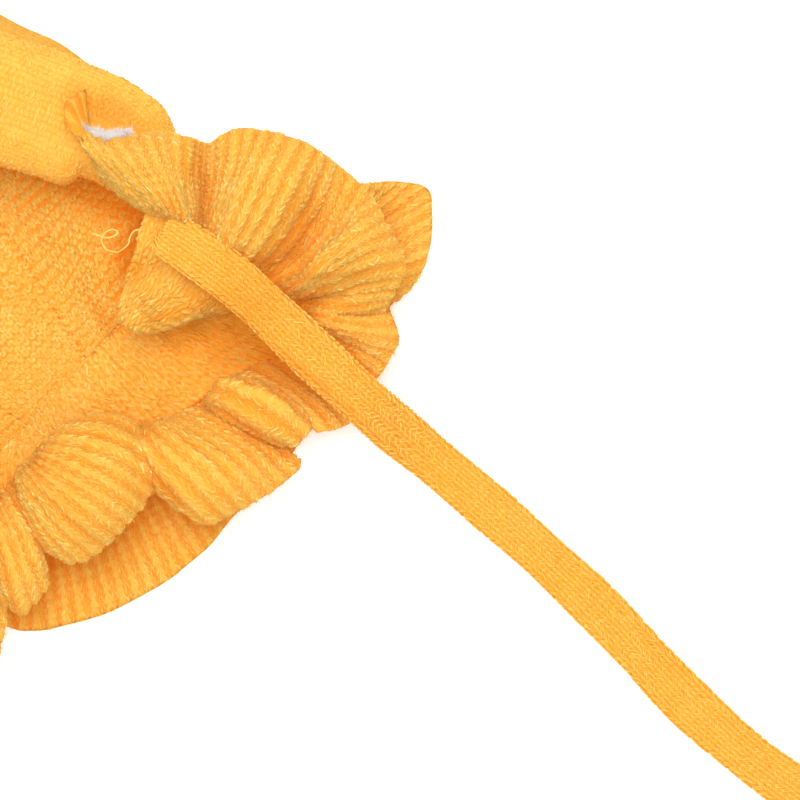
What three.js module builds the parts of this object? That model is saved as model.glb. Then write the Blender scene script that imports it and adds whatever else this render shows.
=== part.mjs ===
// A knitted child's bonnet with a gathered double ruffle and two flat ties, lying on its back.
// Millimetres, +Z up. The origin is the middle of the flattened back, on the surface it lies on.
// +Y points to the crown, -Y to the neck, +X to the right-hand side of the face opening.

import * as THREE from 'three';

// Driving sizes
const HALF_WIDTH = 87;        // centre line to the widest point of the side wall
const CROWN_LENGTH = 87;      // origin to the furthest point of the crown
const NECK_LENGTH = 100;      // origin to the neck line at the side fold
const CORNER_HEIGHT = 42;     // floor to the front corner of the neck line
const WALL = 3;               // thickness of the knitted panels
const RUFFLE_WALL = 2.4;      // thickness of the ribbed ruffle
const RUFFLE_DEPTH = 45;      // gathered edge to hem of the ribbed strips
const RUFFLE_HEIGHT = 58;     // floor to the highest hem
const TIER_DROP = 5;          // the lower ruffle is sewn this far under the upper one
const ROLL_HALF_WIDTH = 18;   // the soft roll round the face opening
const ROLL_HALF_THICKNESS = 9;
const TIE_WIDTH = 15;
const TIE_THICKNESS = 3;
const FLEECE_LENGTH = 10;     // the tuft of white fleece behind the ruffle's first lip
const FLEECE_WIDTH = 4;
const FLEECE_HEIGHT = 3.4;
const SEAM_GAP = 0.5;         // clearance left between two pieces at a seam
const GATHER_GAP = 1.6;       // clearance of the neck band and of each ruffle from the gathering line

// Mesh densities
const PANEL_STEPS = 18;
const PANEL_ROWS = 10;
const ROLL_STEPS = 44;
const ROLL_SIDES = 12;
const NECK_STEPS = 56;
const NECK_ROWS = 5;
const UPPER_STEPS = 130;
const LOWER_STEPS = 72;
const RUFFLE_ROWS = 5;
const TIE_STEPS = 60;

// Slope of a curve at one row of a table, limited so that the curve never swings past its rows
function slope(rows, key, i) {
  if (i === 0 || i === rows.length - 1) {
    const j = Math.max(1, i);
    return (rows[j][key] - rows[j - 1][key]) / (rows[j].at - rows[j - 1].at);
  }
  const before = (rows[i][key] - rows[i - 1][key]) / (rows[i].at - rows[i - 1].at);
  const after = (rows[i + 1][key] - rows[i][key]) / (rows[i + 1].at - rows[i].at);
  return before * after <= 0 ? 0 : (2 * before * after) / (before + after);
}

// Value of one column of a table at a place between its rows, as a smooth cubic
function read(rows, key, at) {
  let i = 0;
  while (i < rows.length - 2 && at > rows[i + 1].at) i += 1;
  const span = rows[i + 1].at - rows[i].at;
  const t = Math.min(1, Math.max(0, (at - rows[i].at) / span));
  const t2 = t * t;
  const t3 = t2 * t;
  return (2 * t3 - 3 * t2 + 1) * rows[i][key]
    + (t3 - 2 * t2 + t) * span * slope(rows, key, i)
    + (3 * t2 - 2 * t3) * rows[i + 1][key]
    + (t3 - t2) * span * slope(rows, key, i + 1);
}

// Point of a line whose table has the columns across, along and up, in shares of three sizes
function linePoint(rows, at, sizes) {
  return new THREE.Vector3(
    read(rows, 'across', at) * sizes[0],
    read(rows, 'along', at) * sizes[1],
    read(rows, 'up', at) * sizes[2],
  );
}

// Closed body from rings of points: each ring joined to the next, with the two ends capped by fans
function bodyFromRings(rings) {
  const count = rings[0].length;
  const positions = rings.flat().flatMap((p) => [p.x, p.y, p.z]);
  const index = [];
  for (let r = 0; r < rings.length - 1; r += 1) {
    for (let k = 0; k < count; k += 1) {
      const a = r * count + k;
      const b = r * count + ((k + 1) % count);
      index.push(a, b, b + count, a, b + count, a + count);
    }
  }
  for (const [first, flip] of [[0, true], [(rings.length - 1) * count, false]]) {
    for (let k = 1; k < count - 1; k += 1) {
      const [b, c] = [first + k, first + k + 1];
      index.push(first, ...(flip ? [c, b] : [b, c]));
    }
  }
  const geometry = new THREE.BufferGeometry();
  geometry.setAttribute('position', new THREE.Float32BufferAttribute(positions, 3));
  geometry.setIndex(index);
  geometry.computeVertexNormals();
  return geometry;
}

// Wall of even thickness on both sides of a surface point(u, v), with u and v from 0 to 1
function wallFromSurface(point, uSteps, vSteps, thickness) {
  const step = 1e-3;
  const positions = [];
  const index = [];
  const sides = [0.5 * thickness, -0.5 * thickness];
  for (const offset of sides) {
    for (let i = 0; i <= uSteps; i += 1) {
      for (let j = 0; j <= vSteps; j += 1) {
        const u = i / uSteps;
        const v = j / vSteps;
        const alongU = point(Math.min(1, u + step), v).sub(point(Math.max(0, u - step), v));
        const alongV = point(u, Math.min(1, v + step)).sub(point(u, Math.max(0, v - step)));
        const normal = alongU.cross(alongV).normalize();
        const p = point(u, v).addScaledVector(normal, offset);
        positions.push(p.x, p.y, p.z);
      }
    }
  }
  const row = vSteps + 1;
  const sheet = (uSteps + 1) * row;
  const quad = (a, b, c, d) => index.push(a, b, c, a, c, d);
  for (let i = 0; i < uSteps; i += 1) {
    for (let j = 0; j < vSteps; j += 1) {
      const a = i * row + j;
      quad(a, a + row, a + row + 1, a + 1);
      quad(sheet + a, sheet + a + 1, sheet + a + row + 1, sheet + a + row);
    }
  }
  for (let i = 0; i < uSteps; i += 1) {
    const near = i * row;
    const far = near + vSteps;
    quad(near, sheet + near, sheet + near + row, near + row);
    quad(far, far + row, sheet + far + row, sheet + far);
  }
  for (let j = 0; j < vSteps; j += 1) {
    const near = j;
    const far = uSteps * row + j;
    quad(near, near + 1, sheet + near + 1, sheet + near);
    quad(far, sheet + far, sheet + far + 1, far + 1);
  }
  const geometry = new THREE.BufferGeometry();
  geometry.setAttribute('position', new THREE.Float32BufferAttribute(positions, 3));
  geometry.setIndex(index);
  geometry.computeVertexNormals();
  return geometry;
}

// Line to which the neck edge is gathered, from the right front corner round the back to the left one
const NECK_LINE = [
  { at: 0, across: 0.72, along: -0.53, up: 1 },
  { at: 0.05, across: 0.79, along: -0.65, up: 0.95 },
  { at: 0.12, across: 0.81, along: -0.82, up: 0.81 },
  { at: 0.19, across: 0.83, along: -1, up: 0.57 },
  { at: 0.245, across: 0.835, along: -1.11, up: 0.33 },
  { at: 0.3, across: 0.75, along: -1.17, up: 0.2 },
  { at: 0.36, across: 0.575, along: -1.11, up: 0.19 },
  { at: 0.43, across: 0.36, along: -1.07, up: 0.19 },
  { at: 0.485, across: 0.185, along: -1.03, up: 0.19 },
  { at: 0.54, across: 0.035, along: -0.94, up: 0.19 },
  { at: 0.6, across: -0.115, along: -0.855, up: 0.19 },
  { at: 0.65, across: -0.275, along: -0.825, up: 0.19 },
  { at: 0.725, across: -0.505, along: -0.86, up: 0.19 },
  { at: 0.8, across: -0.725, along: -0.92, up: 0.21 },
  { at: 0.855, across: -0.87, along: -0.9, up: 0.43 },
  { at: 0.91, across: -0.885, along: -0.77, up: 0.67 },
  { at: 0.96, across: -0.815, along: -0.64, up: 0.86 },
  { at: 1, across: -0.725, along: -0.53, up: 0.95 },
];
const NECK_SIZES = [HALF_WIDTH, NECK_LENGTH, CORNER_HEIGHT];
const HEAD_SIZES = [HALF_WIDTH, CROWN_LENGTH, CORNER_HEIGHT];

function neckPoint(at) {
  return linePoint(NECK_LINE, at, NECK_SIZES);
}

// Inner edge of the neck band. Near each front corner the band folds over itself as a flap
const NECK_INNER = [
  { at: 0, across: 0.46, along: -0.747, up: 0.8 },
  { at: 0.05, across: 0.42, along: -0.816, up: 0.73 },
  { at: 0.12, across: 0.43, along: -0.885, up: 0.64 },
  { at: 0.19, across: 0.5, along: -0.954, up: 0.5 },
  { at: 0.245, across: 0.53, along: -0.954, up: 0.32 },
  { at: 0.3, across: 0.5, along: -0.899, up: 0.2 },
  { at: 0.36, across: 0.44, along: -0.878, up: 0.15 },
  { at: 0.43, across: 0.32, along: -0.878, up: 0.1 },
  { at: 0.485, across: 0.2, along: -0.878, up: 0.06 },
  { at: 0.54, across: 0.04, along: -0.878, up: 0.045 },
  { at: 0.6, across: -0.09, along: -0.878, up: 0.045 },
  { at: 0.65, across: -0.2, along: -0.878, up: 0.06 },
  { at: 0.725, across: -0.39, along: -0.878, up: 0.12 },
  { at: 0.8, across: -0.52, along: -0.902, up: 0.2 },
  { at: 0.855, across: -0.55, along: -0.92, up: 0.36 },
  { at: 0.91, across: -0.48, along: -0.862, up: 0.57 },
  { at: 0.96, across: -0.43, along: -0.793, up: 0.7 },
  { at: 1, across: -0.46, along: -0.724, up: 0.78 },
];

// Ruled surface from the gathering line to the inner edge, a little fuller in its middle
function neckBandPoint(u, v) {
  const outer = neckPoint(u);
  const inner = linePoint(NECK_INNER, u, HEAD_SIZES);
  const width = outer.distanceTo(inner);
  const start = GATHER_GAP / width;
  const share = start + (1 - start) * v;
  const p = outer.lerp(inner, share);
  p.z += 0.06 * CORNER_HEIGHT * Math.sin(Math.PI * share);
  return p;
}

// Folds of the upper ruffle. heading in degrees from +X, reach of the hem from the gathering line in
// shares of the ruffle's depth, rise of the hem over the floor in shares of the ruffle's height
const UPPER_FOLDS = [
  { at: 0, heading: 72, reach: 0.94, rise: 0.78 },
  { at: 0.008, heading: 84.1, reach: 0.96, rise: 0.9 },
  { at: 0.016, heading: 90.3, reach: 0.82, rise: 0.98 },
  { at: 0.028, heading: 86.9, reach: 0.683, rise: 1 },
  { at: 0.045, heading: 68.7, reach: 0.652, rise: 0.97 },
  { at: 0.06, heading: 51.1, reach: 0.638, rise: 0.9 },
  { at: 0.072, heading: 41.8, reach: 0.634, rise: 0.66 },
  { at: 0.085, heading: 30.4, reach: 0.789, rise: 0.84 },
  { at: 0.105, heading: 21, reach: 0.897, rise: 0.95 },
  { at: 0.13, heading: 12.9, reach: 0.963, rise: 0.88 },
  { at: 0.15, heading: 4, reach: 0.984, rise: 0.66 },
  { at: 0.165, heading: -4.3, reach: 0.974, rise: 0.7 },
  { at: 0.185, heading: -13.4, reach: 0.94, rise: 0.8 },
  { at: 0.205, heading: -25.3, reach: 0.912, rise: 0.76 },
  { at: 0.222, heading: -36.7, reach: 0.729, rise: 0.52 },
  { at: 0.235, heading: -42, reach: 0.633, rise: 0.33 },
  { at: 0.252, heading: -52.9, reach: 0.686, rise: 0.36 },
  { at: 0.275, heading: -63.1, reach: 0.638, rise: 0.32 },
  { at: 0.3, heading: -70.2, reach: 0.596, rise: 0.25 },
  { at: 0.325, heading: -90.4, reach: 0.677, rise: 0.22 },
  { at: 0.338, heading: -96.3, reach: 0.644, rise: 0.3 },
  { at: 0.348, heading: -95.7, reach: 0.545, rise: 0.26 },
  { at: 0.362, heading: -91, reach: 0.61, rise: 0.5 },
  { at: 0.378, heading: -92.1, reach: 0.627, rise: 0.46 },
  { at: 0.391, heading: -94.6, reach: 0.597, rise: 0.24 },
  { at: 0.403, heading: -91.2, reach: 0.714, rise: 0.13 },
  { at: 0.42, heading: -84, reach: 0.835, rise: 0.3 },
  { at: 0.45, heading: -87.7, reach: 0.849, rise: 0.5 },
  { at: 0.475, heading: -93.8, reach: 0.816, rise: 0.54 },
  { at: 0.495, heading: -101, reach: 0.8, rise: 0.46 },
  { at: 0.511, heading: -100, reach: 0.67, rise: 0.34 },
  { at: 0.526, heading: -90, reach: 0.42, rise: 0.16 },
  { at: 0.54, heading: -68, reach: 0.36, rise: 0.36 },
  { at: 0.557, heading: -75, reach: 0.52, rise: 0.53 },
  { at: 0.58, heading: -90, reach: 0.67, rise: 0.61 },
  { at: 0.6, heading: -104, reach: 0.76, rise: 0.62 },
  { at: 0.62, heading: -115, reach: 0.8, rise: 0.56 },
  { at: 0.64, heading: -121, reach: 0.66, rise: 0.4 },
  { at: 0.657, heading: -122, reach: 0.5, rise: 0.24 },
  { at: 0.68, heading: -113, reach: 0.74, rise: 0.46 },
  { at: 0.705, heading: -120.2, reach: 0.794, rise: 0.52 },
  { at: 0.735, heading: -114, reach: 0.57, rise: 0.42 },
  { at: 0.76, heading: -109, reach: 0.5, rise: 0.25 },
  { at: 0.79, heading: -116, reach: 0.9, rise: 0.46 },
  { at: 0.82, heading: -134, reach: 0.9, rise: 0.52 },
  { at: 0.843, heading: -151, reach: 0.8, rise: 0.36 },
  { at: 0.87, heading: -168, reach: 0.9, rise: 0.58 },
  { at: 0.9, heading: -180, reach: 0.9, rise: 0.74 },
  { at: 0.92, heading: -191, reach: 0.78, rise: 0.6 },
  { at: 0.94, heading: -205, reach: 0.84, rise: 0.8 },
  { at: 0.965, heading: -224, reach: 0.8, rise: 0.92 },
  { at: 0.983, heading: -240, reach: 0.76, rise: 0.88 },
  { at: 1, heading: -256, reach: 0.8, rise: 0.78 },
];

// Folds of the lower ruffle, which lies on the floor round the back of the neck
const LOWER_FOLDS = [
  { at: 0.13, heading: 1.8, reach: 0.819, rise: 0.44 },
  { at: 0.16, heading: -1.8, reach: 0.994, rise: 0.36 },
  { at: 0.175, heading: -6.5, reach: 1.21, rise: 0.23 },
  { at: 0.19, heading: -10.1, reach: 1.324, rise: 0.19 },
  { at: 0.205, heading: -14.4, reach: 1.229, rise: 0.29 },
  { at: 0.22, heading: -21.2, reach: 1.083, rise: 0.31 },
  { at: 0.235, heading: -29, reach: 0.88, rise: 0.2 },
  { at: 0.255, heading: -35.9, reach: 0.626, rise: 0.1 },
  { at: 0.275, heading: -49, reach: 0.679, rise: 0.14 },
  { at: 0.3, heading: -58.4, reach: 0.61, rise: 0.06 },
  { at: 0.35, heading: -76, reach: 0.62, rise: 0.045 },
  { at: 0.4, heading: -84.1, reach: 0.68, rise: 0.035 },
  { at: 0.44, heading: -88, reach: 0.78, rise: 0.028 },
  { at: 0.48, heading: -96.5, reach: 0.83, rise: 0.028 },
  { at: 0.52, heading: -104.1, reach: 1.014, rise: 0.028 },
  { at: 0.56, heading: -113.9, reach: 1.171, rise: 0.028 },
  { at: 0.6, heading: -121.6, reach: 1.252, rise: 0.028 },
  { at: 0.64, heading: -127.8, reach: 1.198, rise: 0.028 },
  { at: 0.67, heading: -132.1, reach: 1.079, rise: 0.028 },
  { at: 0.7, heading: -137.7, reach: 0.905, rise: 0.05 },
  { at: 0.76, heading: -139, reach: 1.1, rise: 0.09 },
  { at: 0.82, heading: -153, reach: 1.06, rise: 0.05 },
  { at: 0.87, heading: -167, reach: 1.04, rise: 0.14 },
  { at: 0.91, heading: -178, reach: 0.96, rise: 0.34 },
];

// Puff of the crests. A crest stands up steeply from its gathered edge, leaning back against its run
// to the hem, and then arches over the way to the hem
const PUFF_LEAN = 3;          // how far a full crest leans back
const PUFF_END = 0.55;        // share of the strip's depth in which it does so
const PUFF_FULL = 22;         // climb from the gathering line to the hem of a full crest
const PUFF_ARCH = 0.35;       // height of the arch over a climb, in shares of the climb
const PUFF_TOP = 0.8;         // under 1 the arch is highest in the inner half of the strip

// Surface of a ruffle at a place on the gathering line, from its gathered edge to its hem
function rufflePoint(folds, drop, at, v) {
  const base = neckPoint(at);
  const heading = THREE.MathUtils.degToRad(read(folds, 'heading', at));
  const reach = read(folds, 'reach', at) * RUFFLE_DEPTH;
  const hemHeight = read(folds, 'rise', at) * RUFFLE_HEIGHT;
  const climb = Math.sin(0.5 * Math.PI * v);
  const start = base.z - drop;
  const crest = Math.max(0, hemHeight - start);
  const full = Math.min(1, crest / PUFF_FULL);
  const lean = PUFF_LEAN * full * Math.sin(Math.PI * Math.min(1, v / PUFF_END));
  const run = GATHER_GAP + (reach - GATHER_GAP) * v - lean;
  const arch = PUFF_ARCH * crest * full * Math.sin(Math.PI * v ** PUFF_TOP);
  return new THREE.Vector3(
    base.x + run * Math.cos(heading),
    base.y + run * Math.sin(heading),
    start + (hemHeight - start) * climb + arch,
  );
}

// Places on the gathering line, one for each step of a ruffle, that share its hem out evenly
function hemPlaces(folds, drop, steps) {
  const samples = 12 * steps;
  const first = folds[0].at;
  const last = folds[folds.length - 1].at;
  const place = (k) => first + ((last - first) * k) / samples;
  const length = [0];
  for (let k = 1; k <= samples; k += 1) {
    const here = rufflePoint(folds, drop, place(k), 1);
    length.push(length[k - 1] + here.distanceTo(rufflePoint(folds, drop, place(k - 1), 1)));
  }
  const places = [];
  let k = 1;
  for (let i = 0; i <= steps; i += 1) {
    const wanted = (length[samples] * i) / steps;
    while (k < samples && length[k] < wanted) k += 1;
    places.push(place(k - 1 + (wanted - length[k - 1]) / (length[k] - length[k - 1])));
  }
  return places;
}

function ruffleGeometry(folds, drop, steps) {
  const rows = hemPlaces(folds, drop, steps).map((at, i) => ({ at: i / steps, place: at }));
  const point = (u, v) => rufflePoint(folds, drop, read(rows, 'place', u), v);
  return wallFromSurface(point, steps, RUFFLE_ROWS, RUFFLE_WALL);
}

// Middle strip of the head, from the nape over the flat back to the crown. half is its half width
const BACK_LINE = [
  { at: 0, along: -0.86, up: 0.036, half: 0.16 },
  { at: 0.15, along: -0.58, up: 0.036, half: 0.22 },
  { at: 0.3, along: -0.23, up: 0.036, half: 0.3 },
  { at: 0.45, along: 0.1, up: 0.036, half: 0.31 },
  { at: 0.6, along: 0.5, up: 0.036, half: 0.3 },
  { at: 0.75, along: 0.79, up: 0.08, half: 0.28 },
  { at: 0.86, along: 0.95, up: 0.32, half: 0.26 },
  { at: 0.94, along: 1, up: 0.6, half: 0.24 },
  { at: 1, along: 0.91, up: 0.85, half: 0.22 },
];
const CROWN_BOW = 0.04;       // how far the crown draws back at the seams, in shares of its length

function backPoint(across, at) {
  return new THREE.Vector3(
    across * read(BACK_LINE, 'half', at) * HALF_WIDTH,
    read(BACK_LINE, 'along', at) * CROWN_LENGTH * (1 - CROWN_BOW * at * across * across),
    read(BACK_LINE, 'up', at) * CORNER_HEIGHT,
  );
}

// Side wall. Three lines run from the neck to the crown beside the seam: floor, side and top
const SIDE_FLOOR = [
  { at: 0, across: 0.46, along: -0.853, up: 0.12 },
  { at: 0.15, across: 0.56, along: -0.53, up: 0.3 },
  { at: 0.3, across: 0.61, along: -0.25, up: 0.24 },
  { at: 0.45, across: 0.62, along: 0.05, up: 0.14 },
  { at: 0.6, across: 0.58, along: 0.37, up: 0.11 },
  { at: 0.75, across: 0.46, along: 0.7, up: 0.17 },
  { at: 0.88, across: 0.35, along: 0.92, up: 0.42 },
  { at: 1, across: 0.25, along: 0.885, up: 0.85 },
];
const SIDE_BULGE = [
  { at: 0, across: 0.88, along: -0.88, up: 0.2 },
  { at: 0.15, across: 0.965, along: -0.58, up: 0.33 },
  { at: 0.3, across: 0.965, along: -0.28, up: 0.33 },
  { at: 0.45, across: 0.91, along: 0.03, up: 0.36 },
  { at: 0.6, across: 0.8, along: 0.35, up: 0.41 },
  { at: 0.75, across: 0.63, along: 0.63, up: 0.48 },
  { at: 0.88, across: 0.49, along: 0.81, up: 0.62 },
  { at: 1, across: 0.285, along: 0.87, up: 0.85 },
];
const SIDE_TOP = [
  { at: 0, across: 0.86, along: -0.7, up: 0.62 },
  { at: 0.15, across: 0.91, along: -0.49, up: 0.61 },
  { at: 0.3, across: 0.91, along: -0.25, up: 0.61 },
  { at: 0.45, across: 0.855, along: 0.02, up: 0.64 },
  { at: 0.6, across: 0.745, along: 0.3, up: 0.69 },
  { at: 0.75, across: 0.59, along: 0.53, up: 0.76 },
  { at: 0.88, across: 0.46, along: 0.68, up: 0.82 },
  { at: 1, across: 0.32, along: 0.84, up: 0.85 },
];
const SIDE_SHARES = [0.42, 0.8, 1];   // how far round a section its floor, side and top points are
const SEAM_LEAD = 0.15;               // share of the way to the floor point that runs level

// Smooth cubic through the seam, floor, side and top points of one section. It leaves the seam level
// with the middle strip
function sidePoint(u, v) {
  const seam = backPoint(1, v);
  seam.x += SEAM_GAP;
  const points = [SIDE_FLOOR, SIDE_BULGE, SIDE_TOP].map((line) => linePoint(line, v, HEAD_SIZES));
  const lead = seam.clone();
  lead.x += SEAM_LEAD * seam.distanceTo(points[0]);
  const shares = [0, SEAM_LEAD * SIDE_SHARES[0], ...SIDE_SHARES];
  const section = [seam, lead, ...points].map((p, i) => ({ at: shares[i], x: p.x, y: p.y, z: p.z }));
  return new THREE.Vector3(read(section, 'x', u), read(section, 'y', u), read(section, 'z', u));
}

// Centre line of the soft roll round the face opening, from the right corner to the forehead.
// wide and thick are shares of its half width and half thickness
const ROLL_LINE = [
  { at: 0, across: 0.77, along: -0.53, up: 0.74, wide: 0.5, thick: 0.4 },
  { at: 0.06, across: 0.78, along: -0.48, up: 0.76, wide: 0.88, thick: 0.7 },
  { at: 0.18, across: 0.79, along: -0.33, up: 0.8, wide: 1, thick: 1 },
  { at: 0.36, across: 0.72, along: -0.13, up: 0.83, wide: 1, thick: 1 },
  { at: 0.55, across: 0.6, along: 0.11, up: 0.88, wide: 1, thick: 1 },
  { at: 0.72, across: 0.445, along: 0.365, up: 0.94, wide: 0.98, thick: 1 },
  { at: 0.87, across: 0.23, along: 0.585, up: 1, wide: 0.95, thick: 1 },
  { at: 1, across: 0, along: 0.675, up: 1.03, wide: 0.94, thick: 1 },
];

// The same roll from corner to corner, with the left half as the mirror image of the right one
const ROLL_SPAN = 2;          // at runs to 1 at the forehead and to this at the left corner
const ROLL_LOOP = [
  ...ROLL_LINE,
  ...ROLL_LINE.slice(0, -1).reverse()
    .map((row) => ({ ...row, at: ROLL_SPAN - row.at, across: -row.across })),
];

function rollGeometry() {
  const rings = [];
  const step = 1e-3;
  for (let i = 0; i <= ROLL_STEPS; i += 1) {
    const at = (ROLL_SPAN * i) / ROLL_STEPS;
    const centre = linePoint(ROLL_LOOP, at, HEAD_SIZES);
    const behind = linePoint(ROLL_LOOP, Math.max(0, at - step), HEAD_SIZES);
    const ahead = linePoint(ROLL_LOOP, Math.min(ROLL_SPAN, at + step), HEAD_SIZES).sub(behind);
    const inward = new THREE.Vector3(-ahead.y, ahead.x, 0).normalize();
    const upward = new THREE.Vector3(0, 0, 1);
    const wide = read(ROLL_LOOP, 'wide', at) * ROLL_HALF_WIDTH;
    const thick = read(ROLL_LOOP, 'thick', at) * ROLL_HALF_THICKNESS;
    const ring = [];
    for (let k = 0; k < ROLL_SIDES; k += 1) {
      const angle = (2 * Math.PI * k) / ROLL_SIDES;
      ring.push(centre.clone()
        .addScaledVector(inward, wide * Math.cos(angle))
        .addScaledVector(upward, thick * Math.sin(angle)));
    }
    rings.push(ring);
  }
  return bodyFromRings(rings);
}

// Flat ties: centre points of each, chosen by hand, from the front corner to the free end
const RIGHT_TIE_ROUTE = [
  [61.5, -61.5, 48.4], [64, -74, 49.2], [66.2, -88, 48], [67, -103, 44.6], [67.3, -118, 39],
  [67.7, -133, 32], [68.3, -146, 23.5], [69, -157, 13], [69.9, -167, 5], [70.9, -178, 1.7],
  [72.1, -193, 1.7], [73.3, -210, 1.7], [74, -227, 1.7], [74.4, -245, 1.7], [74, -263, 1.7],
  [73.3, -282, 1.7], [73.8, -300, 1.7], [75.4, -317, 1.7], [77.8, -332, 1.7], [80, -344, 1.7],
];
const LEFT_TIE_ROUTE = [
  [-62, -61, 43.2], [-71, -70, 45.4], [-82, -81, 45.6], [-94, -92, 42.6], [-106, -101, 38.4],
  [-117, -109, 31], [-127, -117, 21], [-136, -125, 10.5], [-145, -134, 3.6], [-154, -144, 1.7],
  [-163, -157, 1.7], [-170, -172, 1.7], [-173, -188, 1.7], [-171, -204, 1.7], [-164, -219, 1.7],
  [-153, -231, 1.7], [-139, -239, 1.7], [-124, -243, 1.7], [-109, -243, 1.7], [-95, -240, 1.7],
];

// Section of a tie: a flat oval with eight corners
const TIE_SECTION = [
  [0.5, 0.25], [0.36, 0.5], [-0.36, 0.5], [-0.5, 0.25],
  [-0.5, -0.25], [-0.36, -0.5], [0.36, -0.5], [0.5, -0.25],
];

function tieGeometry(route) {
  const path = new THREE.CatmullRomCurve3(route.map((p) => new THREE.Vector3(...p)));
  const rings = [];
  for (let i = 0; i <= TIE_STEPS; i += 1) {
    const centre = path.getPointAt(i / TIE_STEPS);
    const ahead = path.getTangentAt(i / TIE_STEPS);
    const sideways = new THREE.Vector3(-ahead.y, ahead.x, 0).normalize();
    const upward = ahead.clone().cross(sideways).normalize();
    rings.push(TIE_SECTION.map(([w, t]) => centre.clone()
      .addScaledVector(sideways, w * TIE_WIDTH)
      .addScaledVector(upward, t * TIE_THICKNESS)));
  }
  return bodyFromRings(rings);
}

// Tuft of fleece behind the first lip of the upper ruffle, lying along the hem
const FLEECE_AT = 0.021;      // place along the ruffle
const FLEECE_OUT = 4.8;       // distance past the hem
const FLEECE_UNDER = 3;     // distance below the hem
const FLEECE_HEADING = 35;    // degrees from +X, in which it lies from the hem

function fleeceGeometry() {
  const p = rufflePoint(UPPER_FOLDS, 0, FLEECE_AT, 1);
  const heading = THREE.MathUtils.degToRad(FLEECE_HEADING);
  const geometry = new THREE.SphereGeometry(0.5, 12, 8);
  geometry.scale(FLEECE_WIDTH, FLEECE_LENGTH, FLEECE_HEIGHT);
  geometry.rotateZ(heading - 0.25 * Math.PI);
  geometry.translate(
    p.x + FLEECE_OUT * Math.cos(heading),
    p.y + FLEECE_OUT * Math.sin(heading),
    p.z - FLEECE_UNDER,
  );
  return geometry;
}

// Materials
const yarn = new THREE.MeshStandardMaterial({ color: 0xf5ab35, roughness: 0.95, metalness: 0 });
const fleece = new THREE.MeshStandardMaterial({ color: 0xf3efec, roughness: 1, metalness: 0 });

const bonnet = new THREE.Group();

function add(name, geometry, material) {
  const mesh = new THREE.Mesh(geometry, material);
  mesh.name = name;
  bonnet.add(mesh);
  return mesh;
}

add('back_panel', wallFromSurface((u, v) => backPoint(2 * u - 1, v), 6, PANEL_STEPS, WALL), yarn);
add('side_panel_right', wallFromSurface(sidePoint, PANEL_ROWS, PANEL_STEPS, WALL), yarn);
add('side_panel_left', wallFromSurface((u, v) => {
  const p = sidePoint(1 - u, v);
  p.x *= -1;
  return p;
}, PANEL_ROWS, PANEL_STEPS, WALL), yarn);
add('face_roll', rollGeometry(), yarn);
add('neck_band', wallFromSurface(neckBandPoint, NECK_STEPS, NECK_ROWS, WALL), yarn);
add('ruffle_upper', ruffleGeometry(UPPER_FOLDS, 0, UPPER_STEPS), yarn);
add('ruffle_lower', ruffleGeometry(LOWER_FOLDS, TIER_DROP, LOWER_STEPS), yarn);
add('tie_right', tieGeometry(RIGHT_TIE_ROUTE), yarn);
add('tie_left', tieGeometry(LEFT_TIE_ROUTE), yarn);
add('fleece_tuft', fleeceGeometry(), fleece);

export default bonnet;
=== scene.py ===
import math

import bpy
import numpy as np
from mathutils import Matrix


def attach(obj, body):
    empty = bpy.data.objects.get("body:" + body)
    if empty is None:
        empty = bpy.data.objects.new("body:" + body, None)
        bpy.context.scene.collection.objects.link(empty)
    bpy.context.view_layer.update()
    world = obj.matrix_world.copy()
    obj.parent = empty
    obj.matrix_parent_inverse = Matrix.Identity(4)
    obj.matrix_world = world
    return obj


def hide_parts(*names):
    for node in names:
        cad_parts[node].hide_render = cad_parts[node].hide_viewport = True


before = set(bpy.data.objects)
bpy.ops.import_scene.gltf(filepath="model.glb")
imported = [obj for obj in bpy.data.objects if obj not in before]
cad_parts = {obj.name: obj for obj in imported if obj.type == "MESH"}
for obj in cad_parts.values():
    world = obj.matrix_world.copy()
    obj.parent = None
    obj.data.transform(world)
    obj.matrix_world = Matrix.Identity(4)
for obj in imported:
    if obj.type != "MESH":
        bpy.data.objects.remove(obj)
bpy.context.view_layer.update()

# A knitted child's bonnet lying on its back. Metres in Blender; the sizes below are in millimetres,
# and MM turns them into metres. Sizes and tables that the part has too are the same there, but for the
# seams: the panels lap here, where the part's solids leave a gap.
MM = 0.001
CIRCLE = 2 * math.pi
UPWARD = np.array([[0, 0, 1.0]])
MIRRORED = np.array([-1, 1, 1])

# Sizes of the bonnet
HALF_WIDTH = 87
CROWN_LENGTH = 87
NECK_LENGTH = 100
CORNER_HEIGHT = 42
WALL = 3
RUFFLE_WALL = 2.4
RUFFLE_DEPTH = 45
RUFFLE_HEIGHT = 58
TIER_DROP = 5
ROLL_HALF_WIDTH = 18
ROLL_HALF_THICKNESS = 9
TIE_WIDTH = 15
TIE_THICKNESS = 3
SEAM_GAP = -0.6        # below zero, so the knitted panels lap a little at their seams
CROWN_BOW = 0.04
BAND_LAP = 5           # how far the neck band reaches over the head's edge
PUFF_LEAN = 6          # how far a crest leans back over its base, up to PUFF_END of the way
PUFF_END = 0.55
PUFF_FULL = 22         # rise from which a crest puffs fully
PUFF_ARCH = 0.35
PUFF_TOP = 0.8
DRAWN_AT = 0.22        # share of the way where a fold is drawn furthest aside
HEM_TURN = 0.36        # share of the rise that the hem turns down again, from HEM_TURN_START on
HEM_TURN_START = 0.62

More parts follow.
